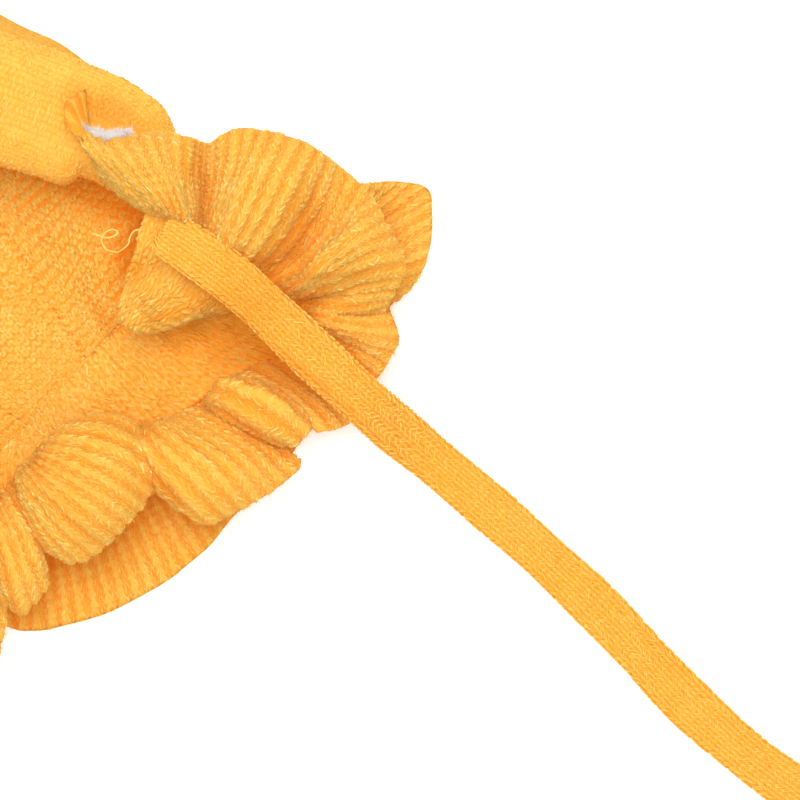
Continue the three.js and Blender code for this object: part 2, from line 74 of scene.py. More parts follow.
# Sizes of the knitting
WALE = 3.4
RIB_WALE = 2.45
ROW = 2.6
TIE_WALE = 2.9
TIE_ROW = 2.5
RIB_RELIEF = 1.1
STITCH_RELIEF = 0.55
PURL_RELIEF = 0.6
YARN_ALLOWANCE = 0.5   # what the raised yarn adds to a wall's thickness
SUNK = 0.3             # how deep a relief starts in the wall
BAND_SHARE = 0.78      # the neck band has fewer stitches than its length would hold
BAND_ROWS = 11
BAND_POINTS = 4        # grid points to a stitch of the band, and to a wale of the ribs
RIB_POINTS = 3
BACK_WALES = 14
BACK_ROWS = 64
SIDE_WALES = 29
SIDE_ROWS = 52


# Tables: each has named columns and one row for a section or fold, lengths as shares of the sizes
def table(names, rows):
    """Columns by name, from rows written as tuples."""
    return dict(zip(names.split(), np.array(rows, float).T))


NECK_LINE = table("at across along up", [
    (0, 0.72, -0.53, 1), (0.05, 0.79, -0.65, 0.95), (0.12, 0.81, -0.82, 0.81), (0.19, 0.83, -1, 0.57),
    (0.245, 0.835, -1.11, 0.33), (0.3, 0.75, -1.17, 0.2), (0.36, 0.575, -1.11, 0.19),
    (0.43, 0.36, -1.07, 0.19), (0.485, 0.185, -1.03, 0.19), (0.54, 0.035, -0.94, 0.19),
    (0.6, -0.115, -0.855, 0.19), (0.65, -0.275, -0.825, 0.19), (0.725, -0.505, -0.86, 0.19),
    (0.8, -0.725, -0.92, 0.21), (0.855, -0.87, -0.9, 0.43), (0.91, -0.885, -0.77, 0.67),
    (0.96, -0.815, -0.64, 0.86), (1, -0.725, -0.53, 0.95),
])
NECK_INNER = table("at across along up", [
    (0, 0.46, -0.747, 0.8), (0.05, 0.42, -0.816, 0.73), (0.12, 0.43, -0.885, 0.64),
    (0.19, 0.5, -0.954, 0.5), (0.245, 0.53, -0.954, 0.32), (0.3, 0.5, -0.899, 0.2),
    (0.36, 0.44, -0.878, 0.15), (0.43, 0.32, -0.878, 0.1), (0.485, 0.2, -0.878, 0.06),
    (0.54, 0.04, -0.878, 0.045), (0.6, -0.09, -0.878, 0.045), (0.65, -0.2, -0.878, 0.06),
    (0.725, -0.39, -0.878, 0.12), (0.8, -0.52, -0.902, 0.2), (0.855, -0.55, -0.92, 0.36),
    (0.91, -0.48, -0.862, 0.57), (0.96, -0.43, -0.793, 0.7), (1, -0.46, -0.724, 0.78),
])
UPPER_FOLDS = table("at heading reach rise", [
    (0, 72, 0.94, 0.78), (0.008, 84.1, 0.96, 0.9), (0.016, 90.3, 0.82, 0.98), (0.028, 86.9, 0.683, 1),
    (0.045, 68.7, 0.652, 0.97), (0.06, 51.1, 0.638, 0.9), (0.072, 41.8, 0.634, 0.66),
    (0.085, 30.4, 0.789, 0.84), (0.105, 21, 0.897, 0.95), (0.13, 12.9, 0.963, 0.88),
    (0.15, 4, 0.984, 0.66), (0.165, -4.3, 0.974, 0.7), (0.185, -13.4, 0.94, 0.8),
    (0.205, -25.3, 0.912, 0.76), (0.222, -36.7, 0.729, 0.52), (0.235, -42, 0.633, 0.33),
    (0.252, -52.9, 0.686, 0.36), (0.275, -63.1, 0.638, 0.32), (0.3, -70.2, 0.596, 0.25),
    (0.325, -90.4, 0.677, 0.22), (0.338, -96.3, 0.644, 0.3), (0.348, -95.7, 0.545, 0.26),
    (0.362, -91, 0.61, 0.5), (0.378, -92.1, 0.627, 0.46), (0.391, -94.6, 0.597, 0.24),
    (0.403, -91.2, 0.714, 0.13), (0.42, -84, 0.835, 0.3), (0.45, -87.7, 0.849, 0.5),
    (0.475, -93.8, 0.816, 0.54), (0.495, -101, 0.8, 0.46), (0.511, -100, 0.67, 0.34),
    (0.526, -90, 0.42, 0.16), (0.54, -68, 0.36, 0.36), (0.557, -75, 0.52, 0.53), (0.58, -90, 0.67, 0.61),
    (0.6, -104, 0.76, 0.62), (0.62, -115, 0.8, 0.56), (0.64, -121, 0.66, 0.4), (0.657, -122, 0.5, 0.24),
    (0.68, -113, 0.74, 0.46), (0.705, -120.2, 0.794, 0.52), (0.735, -114, 0.57, 0.42),
    (0.76, -109, 0.5, 0.25), (0.79, -126, 0.84, 0.46), (0.82, -134, 0.9, 0.52), (0.843, -151, 0.8, 0.36),
    (0.87, -168, 0.9, 0.58), (0.9, -180, 0.9, 0.74), (0.92, -191, 0.78, 0.6), (0.94, -205, 0.84, 0.8),
    (0.965, -224, 0.8, 0.92), (0.983, -240, 0.76, 0.88), (1, -256, 0.8, 0.78),
])
LOWER_FOLDS = table("at heading reach rise", [
    (0.13, 1.8, 0.819, 0.44), (0.16, -1.8, 0.994, 0.36), (0.175, -6.5, 1.21, 0.23),
    (0.19, -10.1, 1.324, 0.19), (0.205, -14.4, 1.229, 0.29), (0.22, -21.2, 1.083, 0.31),
    (0.235, -29, 0.88, 0.2), (0.255, -35.9, 0.626, 0.1), (0.275, -49, 0.679, 0.14),
    (0.3, -58.4, 0.61, 0.06), (0.35, -76, 0.62, 0.045), (0.4, -84.1, 0.68, 0.035),
    (0.44, -88, 0.78, 0.028), (0.48, -96.5, 0.83, 0.028), (0.52, -104.1, 1.014, 0.028),
    (0.56, -113.9, 1.171, 0.028), (0.6, -121.6, 1.252, 0.028), (0.64, -127.8, 1.198, 0.028),
    (0.67, -132.1, 1.079, 0.028), (0.7, -137.7, 0.905, 0.05), (0.76, -139, 1.1, 0.09),
    (0.82, -153, 1.06, 0.05), (0.87, -167, 1.04, 0.14), (0.91, -178, 0.96, 0.34),
])
# How the upper ruffle's folds are drawn together: the place on the gathering line from which each
# leaves, how far its way bulges east, north and up, and its sideways bow, in millimetres
UPPER_DRAPE = table("at place east north lift bow", [
    (0, 0, 0, 0, 0, 7), (0.008, 0.008, 0, 0, 0, 3), (0.02, 0.02, 0, 0, 0, 0), (0.045, 0.045, 0, 0, 3, 0),
    (0.06, 0.06, 0, 0, 2, 2), (0.072, 0.072, 0, 0, -4, 0),
    (0.085, 0.086, 0, 0, 3, -2), (0.105, 0.108, 0, 0, 3, 0), (0.13, 0.135, 1, 1, 3, -2),
    (0.15, 0.16, 6.5, -1, -7, -4), (0.165, 0.18, 8, -4.5, 0, -2), (0.185, 0.19, 7, -4.5, 6, 2),
    (0.2, 0.2, 5.5, -3.5, 2, 3), (0.213, 0.21, 4.5, -3, -12, 1), (0.226, 0.22, 4, -2, 4, -2),
    (0.245, 0.235, 3, 0, 10, -3), (0.265, 0.255, 2, 0, 9, 0), (0.285, 0.28, 1, 0, 4, 3),
    (0.3, 0.3, 0, 0, 0, 0),
    (0.325, 0.335, 0, 0, 0, 1), (0.338, 0.375, 0, 0, 1, 3), (0.348, 0.395, 0, 0, 3, 5),
    (0.362, 0.408, 0, 0, 5, 5), (0.378, 0.416, 0, 0, 5, 1), (0.391, 0.422, 0, 0, 1, -3),
    (0.403, 0.43, 0, 0, -3, -2), (0.42, 0.45, 0, 0, -3, 3), (0.45, 0.485, 0, 0, -6, 5),
    (0.475, 0.5, 0, 0, 3, 3),
    (0.495, 0.508, 0, 0, 6, -3), (0.511, 0.516, 0, 0, 0, -4), (0.526, 0.535, 0, 0, -5, 0),
    (0.54, 0.6, 0, 0, 2, 10), (0.557, 0.622, 0, 0, 4, 8), (0.58, 0.635, 0, 0, 4, 4),
    (0.6, 0.643, 0, 0, 3, 0), (0.62, 0.648, 0, 0, 0, -3), (0.64, 0.653, 0, 0, -4, -3),
    (0.66, 0.662, 0, 0, 0, 0),
    (0.68, 0.69, 0, 0, 0, 2), (0.735, 0.735, 0, 0, 0, 0), (1, 1, 0, 0, 0, 0),
])
# The lower ruffle's folds run straight out from the gathering line
LOWER_DRAPE = table("at place east north lift bow", [(0, 0, 0, 0, 0, 0), (1, 1, 0, 0, 0, 0)])
BACK_LINE = table("at along up half", [
    (0, -0.86, 0.036, 0.16), (0.15, -0.58, 0.036, 0.22), (0.3, -0.23, 0.036, 0.3),
    (0.45, 0.1, 0.036, 0.31), (0.6, 0.5, 0.036, 0.3), (0.75, 0.79, 0.08, 0.28), (0.86, 0.95, 0.32, 0.26),
    (0.94, 1, 0.6, 0.24), (1, 0.91, 0.85, 0.22),
])
SIDE_FLOOR = table("at across along up", [
    (0, 0.46, -0.853, 0.12), (0.15, 0.56, -0.53, 0.3), (0.3, 0.61, -0.25, 0.24), (0.45, 0.62, 0.05, 0.14),
    (0.6, 0.58, 0.37, 0.11), (0.75, 0.46, 0.7, 0.17), (0.88, 0.35, 0.92, 0.42), (1, 0.25, 0.885, 0.85),
])
SIDE_BULGE = table("at across along up", [
    (0, 0.88, -0.88, 0.2), (0.15, 0.965, -0.58, 0.33), (0.3, 0.965, -0.28, 0.33),
    (0.45, 0.91, 0.03, 0.36), (0.6, 0.8, 0.35, 0.41), (0.75, 0.63, 0.63, 0.48), (0.88, 0.49, 0.81, 0.62),
    (1, 0.285, 0.87, 0.85),
])
SIDE_TOP = table("at across along up", [
    (0, 0.86, -0.7, 0.62), (0.15, 0.91, -0.49, 0.61), (0.3, 0.91, -0.25, 0.61), (0.45, 0.855, 0.02, 0.64),
    (0.6, 0.745, 0.3, 0.69), (0.75, 0.59, 0.53, 0.76), (0.88, 0.46, 0.68, 0.82), (1, 0.32, 0.84, 0.85),
])
SIDE_SHARES = (0.42, 0.8, 1)
SEAM_LEAD = 0.15
ROLL_HALF = [
    (0, 0.77, -0.53, 0.74, 0.5, 0.4), (0.06, 0.78, -0.48, 0.76, 0.88, 0.7),
    (0.18, 0.79, -0.33, 0.8, 1, 1), (0.36, 0.72, -0.13, 0.83, 1, 1), (0.55, 0.6, 0.11, 0.88, 1, 1),
    (0.72, 0.445, 0.365, 0.94, 0.98, 1), (0.87, 0.23, 0.585, 1, 0.95, 1), (1, 0, 0.675, 1.03, 0.94, 1),
]
ROLL_LOOP = table("at across along up wide thick",
                  ROLL_HALF + [(2 - r[0], -r[1], *r[2:]) for r in ROLL_HALF[-2::-1]])

# Routes of the two ties, the points of the part's list
RIGHT_TIE_ROUTE = [
    (61.5, -61.5, 48.4), (64, -74, 49.2), (66.2, -88, 48), (67, -103, 44.6), (67.3, -118, 39),
    (67.7, -133, 32), (68.3, -146, 23.5), (69, -157, 13), (69.9, -167, 5), (70.9, -178, 1.7),
    (72.1, -193, 1.7), (73.3, -210, 1.7), (74, -227, 1.7), (74.4, -245, 1.7), (74, -263, 1.7),
    (73.3, -282, 1.7), (73.8, -300, 1.7), (75.4, -317, 1.7), (77.8, -332, 1.7), (80, -344, 1.7),
]
LEFT_TIE_ROUTE = [
    (-62, -61, 43.2), (-71, -70, 45.4), (-82, -81, 45.6), (-94, -92, 42.6), (-106, -101, 38.4),
    (-117, -109, 31), (-127, -117, 21), (-136, -125, 10.5), (-145, -134, 3.6), (-154, -144, 1.7),
    (-163, -157, 1.7), (-170, -172, 1.7), (-173, -188, 1.7), (-171, -204, 1.7), (-164, -219, 1.7),
    (-153, -231, 1.7), (-139, -239, 1.7), (-124, -243, 1.7), (-109, -243, 1.7), (-95, -240, 1.7),
]

# Loose end of yarn at the inner corner, seen from above
LOOSE_END = [
    (45.2, -46.3), (46.3, -48.4), (47.2, -50.2), (49.3, -51.7), (51.1, -51.7), (50.6, -49.9),
    (48.3, -49), (45.9, -49.7), (44.7, -52.7), (45.9, -55.1), (47, -56.3), (50.6, -56.7), (52.6, -55.6),
    (54.9, -55.1), (57.2, -56.5), (58.5, -59.7),
]


# Numbers on tables and grids
def slopes(knots, values):
    """Slopes at the knots, held so that a cubic through the values never swings past them."""
    chord = (np.diff(values, axis=0).T / np.diff(knots)).T
    product = chord[:-1] * chord[1:]
    total = chord[:-1] + chord[1:]
    inner = np.where(product <= 0, 0, 2 * product / np.where(total == 0, 1, total))
    return np.concatenate([chord[:1], inner, chord[-1:]])


def cubic(t, span, start, end):
    """Cubic between two knots at t from 0 to 1, each end given as its value and its slope."""
    return ((2 * t**3 - 3 * t**2 + 1) * start[0] + (t**3 - 2 * t**2 + t) * span * start[1]
            + (3 * t**2 - 2 * t**3) * end[0] + (t**3 - t**2) * span * end[1])


def read(columns, key, at):
    """Smooth cubic through one column of a table."""
    x, y = columns["at"], columns[key]
    slope = slopes(x, y)
    i = np.clip(np.searchsorted(x, at, side="left") - 1, 0, len(x) - 2)
    span = x[i + 1] - x[i]
    return cubic(np.clip((at - x[i]) / span, 0, 1), span, (y[i], slope[i]), (y[i + 1], slope[i + 1]))


def line_point(columns, at, sizes):
    """Point of a line whose columns across, along and up are shares of three sizes."""
    keys = ("across", "along", "up")
    return np.stack([read(columns, key, at) * size for key, size in zip(keys, sizes)], axis=-1)


def size_of(v):
    """Lengths of vectors."""
    return np.linalg.norm(v, axis=-1)


def unit(v):
    """Vectors brought to length one."""
    return v / np.maximum(np.linalg.norm(v, axis=-1, keepdims=True), 1e-12)


def normals(points):
    """Normals of a grid: the cross product of its two directions."""
    return unit(np.cross(np.gradient(points, axis=0), np.gradient(points, axis=1)))


def unit_grid(n, m):
    """Two grids of n by m places from 0 to 1, the first rising along the rows of points."""
    return np.meshgrid(np.linspace(0, 1, n), np.linspace(0, 1, m), indexing="ij")


def frame_along(centre):
    """Directions of a line at each point: ahead, level to its left, and up across both."""
    ahead = unit(np.gradient(centre, axis=0))
    left = unit(np.stack([-ahead[:, 1], ahead[:, 0], np.zeros(len(ahead))], axis=-1))
    return ahead, left, np.cross(ahead, left)


def swept(centre, aside, above, across, up):
    """Grid of points round a line: across along one direction and up along the other."""
    return centre[:, None] + aside[:, None] * across[..., None] + above[:, None] * up[..., None]


def line_length(points):
    """Length of the line through points."""
    return size_of(np.diff(points, axis=0)).sum()


def ripple(points, pitch, seed):
    """Soft noise from -1 to 1: a mean of sine waves of one pitch in seeded directions."""
    waves = 9
    draw = np.random.default_rng(seed)
    turns = CIRCLE / pitch
    ways = unit(draw.normal(size=(waves, 3))) * turns * draw.uniform(0.6, 1.5, (waves, 1))
    return np.sin(points @ ways.T + draw.uniform(0, CIRCLE, waves)).sum(axis=-1) / math.sqrt(waves) / 1.6


def cosine(x):
    """Cosine of an array, or of a value in a material."""
    return x.math("COSINE") if isinstance(x, Value) else np.cos(x)


# Reliefs of the knitting, from 0 to 1, of wales across and rows along. Both the meshes and the
# materials use them
def stocking_relief(wales, rows):
    """Smooth side: two rows of slanting strands in each wale, meeting in a V."""
    side = abs(2 * (wales % 1) - 1)
    strand = 0.5 - 0.5 * cosine((rows + 0.55 * side) * CIRCLE)
    fullness = 0.2 * (1 - side) + 0.8 * (1 - (2 * side - 1) * (2 * side - 1))
    return fullness * (0.4 + 0.6 * strand)


def purl_relief(wales, rows):
    """Rough side: rows of short bumps, each row half a wale along from the last."""
    bent = rows + 0.16 * cosine(wales * CIRCLE)
    shift = 0.5 * ((bent - bent % 1) % 2)
    return (0.5 - 0.5 * cosine(bent * CIRCLE)) * (0.6 + 0.4 * cosine((wales + shift) * CIRCLE))


def rib_relief(wales, rows):
    """Rib: every second wale stands up as a round cord of Vs, the ones between lie deep."""
    crest = np.abs(np.sin(0.5 * math.pi * wales)) ** 1.3
    cord = 0.72 + 0.28 * stocking_relief(wales + 0.5, rows)
    return cord * crest + 0.1 * (1 - crest) * purl_relief(wales, rows)


def rib_shade(wales, rows):
    """Rib for the materials: the same cords with a plain cosine across."""
    crest = 0.5 - 0.5 * cosine(wales * math.pi)
    return 0.6 * crest + 0.4 * stocking_relief(wales + 0.5, rows) * crest


# Surfaces of the bonnet in millimetres
NECK_SIZES = (HALF_WIDTH, NECK_LENGTH, CORNER_HEIGHT)
HEAD_SIZES = (HALF_WIDTH, CROWN_LENGTH, CORNER_HEIGHT)


def neck_point(at):
    """Gathering line."""
    return line_point(NECK_LINE, at, NECK_SIZES)


def neck_band_surface(u, v):
    """Ruled from the gathering line to the band's inner edge, a little fuller in the middle."""
    outer, inner = neck_point(u), line_point(NECK_INNER, u, HEAD_SIZES)
    reach = 1 + BAND_LAP / size_of(inner - outer)
    points = outer + (inner - outer) * (reach * v)[..., None]
    points[..., 2] += 0.06 * CORNER_HEIGHT * np.sin(math.pi * v) + 0.8 * BAND_LAP * np.maximum(v - 0.5, 0)
    return points


def ruffle_surface(folds, drape, drop, at, v):
    """From each fold's base to its hem point, up as a quarter wave, drawn aside and bowed on the way.

    Each crest puffs: it leans back over its base first, arches above the way up, and turns down at
    the hem.
    """
    line = neck_point(at)
    heading = np.radians(read(folds, "heading", at))
    reach = read(folds, "reach", at) * RUFFLE_DEPTH
    hem = line[..., :2] + reach[..., None] * np.stack([np.cos(heading), np.sin(heading)], axis=-1)
    base = neck_point(read(drape, "place", at))
    drawn = np.sin(0.5 * math.pi * np.minimum(v / DRAWN_AT, 1)) * np.minimum((1 - v) / (1 - DRAWN_AT), 1)
    aside = np.stack([read(drape, "east", at), read(drape, "north", at)], axis=-1) * drawn[..., None]
    way = hem - base[..., :2]
    length = size_of(way)
    way = way / length[..., None]
    left = np.stack([-way[..., 1], way[..., 0]], axis=-1)
    start = base[..., 2] - drop
    rise = read(folds, "rise", at) * RUFFLE_HEIGHT - start
    crest = np.maximum(rise, 0)
    full = np.minimum(crest / PUFF_FULL, 1)
    run = length * v - PUFF_LEAN * full * np.sin(math.pi * np.minimum(v / PUFF_END, 1))
    bow = read(drape, "bow", at) * np.sin(math.pi * v)
    flat = base[..., :2] + way * run[..., None] + left * bow[..., None] + aside
    arch = PUFF_ARCH * crest * full * np.sin(math.pi * v**PUFF_TOP)
    turned = np.clip((v - HEM_TURN_START) / (1 - HEM_TURN_START), 0, 1) ** 2
    up = start + rise * np.sin(0.5 * math.pi * v) + arch - HEM_TURN * crest * full * turned
    up += read(drape, "lift", at) * drawn
    return np.concatenate([flat, up[..., None]], axis=-1)


def hem_places(folds, drape, drop, steps):
    """Places on the gathering line that share the hem out evenly."""
    places = np.linspace(folds["at"][0], folds["at"][-1], 20 * len(folds["at"]) * 3)
    hem = ruffle_surface(folds, drape, drop, places, np.ones_like(places))
    length = np.concatenate([[0], np.cumsum(size_of(np.diff(hem, axis=0)))])
    return np.interp(np.linspace(0, length[-1], steps + 1), length, places), length[-1]


def back_surface(across, at):
    """Middle strip: across from -1 to 1, at from the nape to the crown."""
    along = read(BACK_LINE, "along", at) * CROWN_LENGTH * (1 - CROWN_BOW * at * across**2)
    return np.stack([across * read(BACK_LINE, "half", at) * HALF_WIDTH, along,
                     read(BACK_LINE, "up", at) * CORNER_HEIGHT], axis=-1)


def side_surface(u, v):
    """Right side wall: each section is a smooth cubic through its seam, floor, side and top points."""
    seam = back_surface(np.ones_like(v), v) + np.array([SEAM_GAP, 0, 0])
    points = [line_point(line, v, HEAD_SIZES) for line in (SIDE_FLOOR, SIDE_BULGE, SIDE_TOP)]
    lead = seam.copy()
    lead[..., 0] += SEAM_LEAD * size_of(seam - points[0])
    knots = np.array([0, SEAM_LEAD * SIDE_SHARES[0], *SIDE_SHARES])
    values = np.stack([seam, lead, *points])
    slope = slopes(knots, values)
    i = np.clip(np.searchsorted(knots, u, side="left") - 1, 0, len(knots) - 2)
    span = (knots[i + 1] - knots[i])[..., None]
    t = (u - knots[i])[..., None] / span
    here, after = (i, *np.indices(u.shape)), (i + 1, *np.indices(u.shape))
    return cubic(t, span, (values[here], slope[here]), (values[after], slope[after]))


def roll_line(at):
    """Line of the face roll: its centre, the level direction across it, and its two half sizes."""
    centre = line_point(ROLL_LOOP, at, HEAD_SIZES)
    _, inward, _ = frame_along(centre)
    wide = read(ROLL_LOOP, "wide", at)[:, None] * ROLL_HALF_WIDTH
    thick = read(ROLL_LOOP, "thick", at)[:, None] * ROLL_HALF_THICKNESS
    return centre, inward, wide, thick


def smooth_route(points, steps):
    """Even points on the Catmull-Rom curve through the route, and its length."""
    knots = np.array(points, float)
    ends = np.concatenate([[2 * knots[0] - knots[1]], knots, [2 * knots[-1] - knots[-2]]])
    t = np.linspace(0, len(knots) - 1, 4000)
    i = np.minimum(t.astype(int), len(knots) - 2)
    f = (t - i)[:, None]
    a, b, c, d = ends[i], ends[i + 1], ends[i + 2], ends[i + 3]
    curve = 0.5 * (2 * b + (c - a) * f + (2 * a - 5 * b + 4 * c - d) * f**2 + (3 * b - a - 3 * c + d) * f**3)
    length = np.concatenate([[0], np.cumsum(size_of(np.diff(curve, axis=0)))])
    even = np.linspace(0, length[-1], steps + 1)
    return np.stack([np.interp(even, length, curve[:, k]) for k in range(3)], axis=-1), length[-1]


# Painted shade in the folds. Soft painted shade in the main hollows, seen from above: the middle, half
# length, half width and turn of each, and how dark its painted shade is from 0 to 1
SHADED_HOLLOWS = table("east north long wide turn deep", [
    (75.5, -22.5, 14.4, 5.8, -66, 0.7), (4.2, -121.2, 8.3, 2.9, -100, 0.9),
    (61.5, -126.4, 17.6, 1.6, -86, 0.6), (90, -109.7, 14.7, 1.3, -39, 0.55),
    (97.7, -89.3, 9, 4.2, -149, 0.4), (82.7, -57.6, 12.2, 1.9, -124, 0.5),
    (46.8, -60.6, 8.3, 4.5, -96, 0.8), (54.9, -36.1, 13.4, 3.8, -77, 0.4),
    (27.8, -65.1, 9.6, 2.6, -99, 0.45), (45.4, -81.8, 16.6, 1.6, -29, 0.5),
    (-23.8, -103.1, 10.9, 3.5, -82, 0.45), (13, -102.9, 4.8, 2.6, -72, 0.6),
    (-30.4, -82.1, 7, 2.6, -114, 0.4), (35.9, -124.8, 11.5, 1.6, -84, 0.55),
    (35.4, -133.4, 10.9, 3.5, -68, 0.35), (43.8, -93.4, 36, 11, -13, 0.55),
])
# Map of heights in millimetres: its lowest corner and size, how far the tops round a point reach, and
# how far below them the painted shade in the folds is darkest
MAP_LOW = (-200, -370)
MAP_SIZE = (320, 480)
MAP_REACH = 11
MAP_DEPTH = 17


def blurred(field, radius):
    """Three box means in each direction, close to a Gaussian of this radius."""
    box = np.ones(2 * radius + 1) / (2 * radius + 1)
    for axis in (0, 1, 0, 1, 0, 1):
        field = np.apply_along_axis(np.convolve, axis, field, box, "same")
    return field


def height_map():
    """Highest point of the pieces over each millimetre of the floor, softened a little and a lot."""
    u, v = unit_grid(1500, 90)
    clouds = [neck_band_surface(u, v)]
    for folds, drape, drop in ((UPPER_FOLDS, UPPER_DRAPE, 0), (LOWER_FOLDS, LOWER_DRAPE, TIER_DROP)):
        places = folds["at"][0] + u * (folds["at"][-1] - folds["at"][0])
        clouds.append(ruffle_surface(folds, drape, drop, places, v))
    u, v = unit_grid(240, 400)
    side = side_surface(u, v)
    clouds += [side, side * MIRRORED, back_surface(2 * u - 1, v)]
    centre, inward, wide, thick = roll_line(np.linspace(0, 2, 900))
    across = np.linspace(-1, 1, 60)[None, :]
    clouds.append(swept(centre, inward, UPWARD, wide * across, thick * np.sqrt(1 - across**2)))
    across = np.linspace(-0.5, 0.5, 30)[None, :] * TIE_WIDTH
    for route in (RIGHT_TIE_ROUTE, LEFT_TIE_ROUTE):
        centre, _ = smooth_route(route, 700)
        _, left, _ = frame_along(centre)
        clouds.append(swept(centre, left, UPWARD, across, np.full_like(across, 0.5 * TIE_THICKNESS)))
    heights = np.zeros(MAP_SIZE)
    for cloud in clouds:
        flat = cloud.reshape(-1, 3)
        cell = np.clip((flat[:, :2] - MAP_LOW).astype(int), 0, np.array(MAP_SIZE) - 1)
        np.maximum.at(heights, (cell[:, 0], cell[:, 1]), flat[:, 2])
    return blurred(heights, 3), blurred(heights, MAP_REACH)


def painted_shade_in_folds(points):
    """Painted shade: 0 on crests and open flats, up to 1 at the bottom of a narrow fold and in the main
    hollows.
    """
    spot = np.clip(points[:, :2] - MAP_LOW, 0, np.array(MAP_SIZE) - 2) / (np.array(MAP_SIZE) - 1)
    near, far = (sample(field[..., None], spot[:, 0], spot[:, 1])[:, 0] for field in HEIGHTS)
    below = np.maximum(far - points[:, 2], 0) * 0.6 + np.maximum(near - points[:, 2] - 2, 0) * 0.6
    shade = below / MAP_DEPTH
    for east, north, long, wide, turn, shade_share in zip(*SHADED_HOLLOWS.values()):
        away = points[:, :2] - (east, north)
        cos, sin = math.cos(math.radians(turn)), math.sin(math.radians(turn))
        ahead, aside = away[:, 0] * cos + away[:, 1] * sin, away[:, 1] * cos - away[:, 0] * sin
        shade = shade + shade_share * np.exp(-(((ahead / long) ** 2 + (aside / wide) ** 2) ** 1.2))
    return np.clip(shade, 0, 1)


# Meshes from grids
def mesh_piece(name, vertices, faces, materials, uv=None, kinds=None):
    """Object of one mesh: faces are arrays of corner numbers, with corner UVs and material numbers.

    A second UV map holds the painted shade of each vertex, from how deep it lies in the folds, for the
    yarn's colour.
    """
    mesh = bpy.data.meshes.new(name)
    mesh.vertices.add(len(vertices))
    mesh.vertices.foreach_set("co", (np.asarray(vertices) * MM).ravel())
    corners = np.concatenate([f.ravel() for f in faces])
    sizes = np.concatenate([np.full(len(f), f.shape[1]) for f in faces])
    mesh.loops.add(len(corners))
    mesh.loops.foreach_set("vertex_index", corners.astype(np.int32))
    mesh.polygons.add(len(sizes))
    mesh.polygons.foreach_set("loop_start", (np.cumsum(sizes) - sizes).astype(np.int32))
    mesh.polygons.foreach_set("use_smooth", np.ones(len(sizes), bool))
    if kinds is not None:
        mesh.polygons.foreach_set("material_index", np.concatenate(kinds).astype(np.int32))
    if uv is not None:
        layer = mesh.uv_layers.new(name="stitches")
        layer.uv.foreach_set("vector", np.concatenate([c.reshape(-1, 2) for c in uv]).ravel())
    # Painted shade in the folds, carried to the materials in the UV map named depth
    layer = mesh.uv_layers.new(name="depth")
    shade_share = painted_shade_in_folds(np.asarray(vertices))[corners]
    layer.uv.foreach_set("vector", np.stack([shade_share, shade_share], axis=-1).ravel())
    mesh.update(calc_edges=True)
    mesh.validate()
    for material in materials:
        mesh.materials.append(material)
    piece = bpy.data.objects.new(name, mesh)
    bpy.context.scene.collection.objects.link(piece)
    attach(piece, "root")
    return piece


def quads(numbers):
    """Faces of a grid of vertex numbers, turned to the side of its normals."""
    corners = [numbers[:-1, :-1], numbers[1:, :-1], numbers[1:, 1:], numbers[:-1, 1:]]
    return np.stack(corners, axis=-1).reshape(-1, 4)


def edge_rounding(points, radius):
    """0 at the grid's rim, rising along a quarter circle to 1 at the radius from it."""
    result = np.ones(points.shape[:2])
    for axis in (0, 1):
        step = size_of(np.diff(points, axis=axis))
        pad = ((1, 0), (0, 0)) if axis == 0 else ((0, 0), (1, 0))
        run = np.cumsum(np.pad(step, pad), axis=axis)
        total = run[-1:, :] if axis == 0 else run[:, -1:]
        near = np.clip(np.minimum(run, total - run) / radius, 0, 1)
        result = np.minimum(result, np.sqrt(1 - (1 - near) ** 2))
    return result


def shell(name, middle, thickness, stitches, reliefs, materials):
    """Closed wall on a grid: the middle surface moved both ways by half the thickness and a relief.

    reliefs are the two heights in millimetres, front and back; both fall to nothing at the rim, where
    the two sides share their vertices.
    """
    n, m = middle.shape[:2]
    way = normals(middle)
    rim = edge_rounding(middle, 0.6 * thickness)
    front = middle + way * (rim * (0.5 * thickness + reliefs[0] - SUNK))[..., None]
    back = middle - way * (rim * (0.5 * thickness + reliefs[1] - SUNK))[..., None]
    numbers = np.arange(n * m).reshape(n, m)
    under = numbers.copy()
    under[1:-1, 1:-1] = n * m + np.arange((n - 2) * (m - 2)).reshape(n - 2, m - 2)
    vertices = np.concatenate([front.reshape(-1, 3), back[1:-1, 1:-1].reshape(-1, 3)])
    faces = [quads(numbers), quads(under)[:, ::-1]]
    corner = quads(numbers)
    flat = stitches.reshape(-1, 2)
    uv = [flat[corner], flat[corner[:, ::-1]]]
    kinds = [np.zeros(len(faces[0])), np.full(len(faces[1]), len(materials) - 1)]
    return mesh_piece(name, vertices, faces, materials, uv, kinds), front, back, way


def tube(name, rings, stitches, material):
    """Closed body from rings of points, its ends drawn together to their middles."""
    n, m = rings.shape[:2]
    numbers = np.arange(n * m).reshape(n, m)
    numbers = np.concatenate([numbers, numbers[:, :1]], axis=1)
    flat = np.arange(n * (m + 1)).reshape(n, m + 1)
    uv = [stitches.reshape(-1, 2)[quads(flat)], np.zeros((m, 3, 2)), np.zeros((m, 3, 2))]
    first = np.stack([np.full(m, n * m), numbers[0, :-1], numbers[0, 1:]], axis=-1)
    last = np.stack([np.full(m, n * m + 1), numbers[-1, 1:], numbers[-1, :-1]], axis=-1)
    vertices = np.concatenate([rings.reshape(-1, 3), rings[:1].mean(axis=1), rings[-1:].mean(axis=1)])
    return mesh_piece(name, vertices, [quads(numbers), first, last], [material], uv)


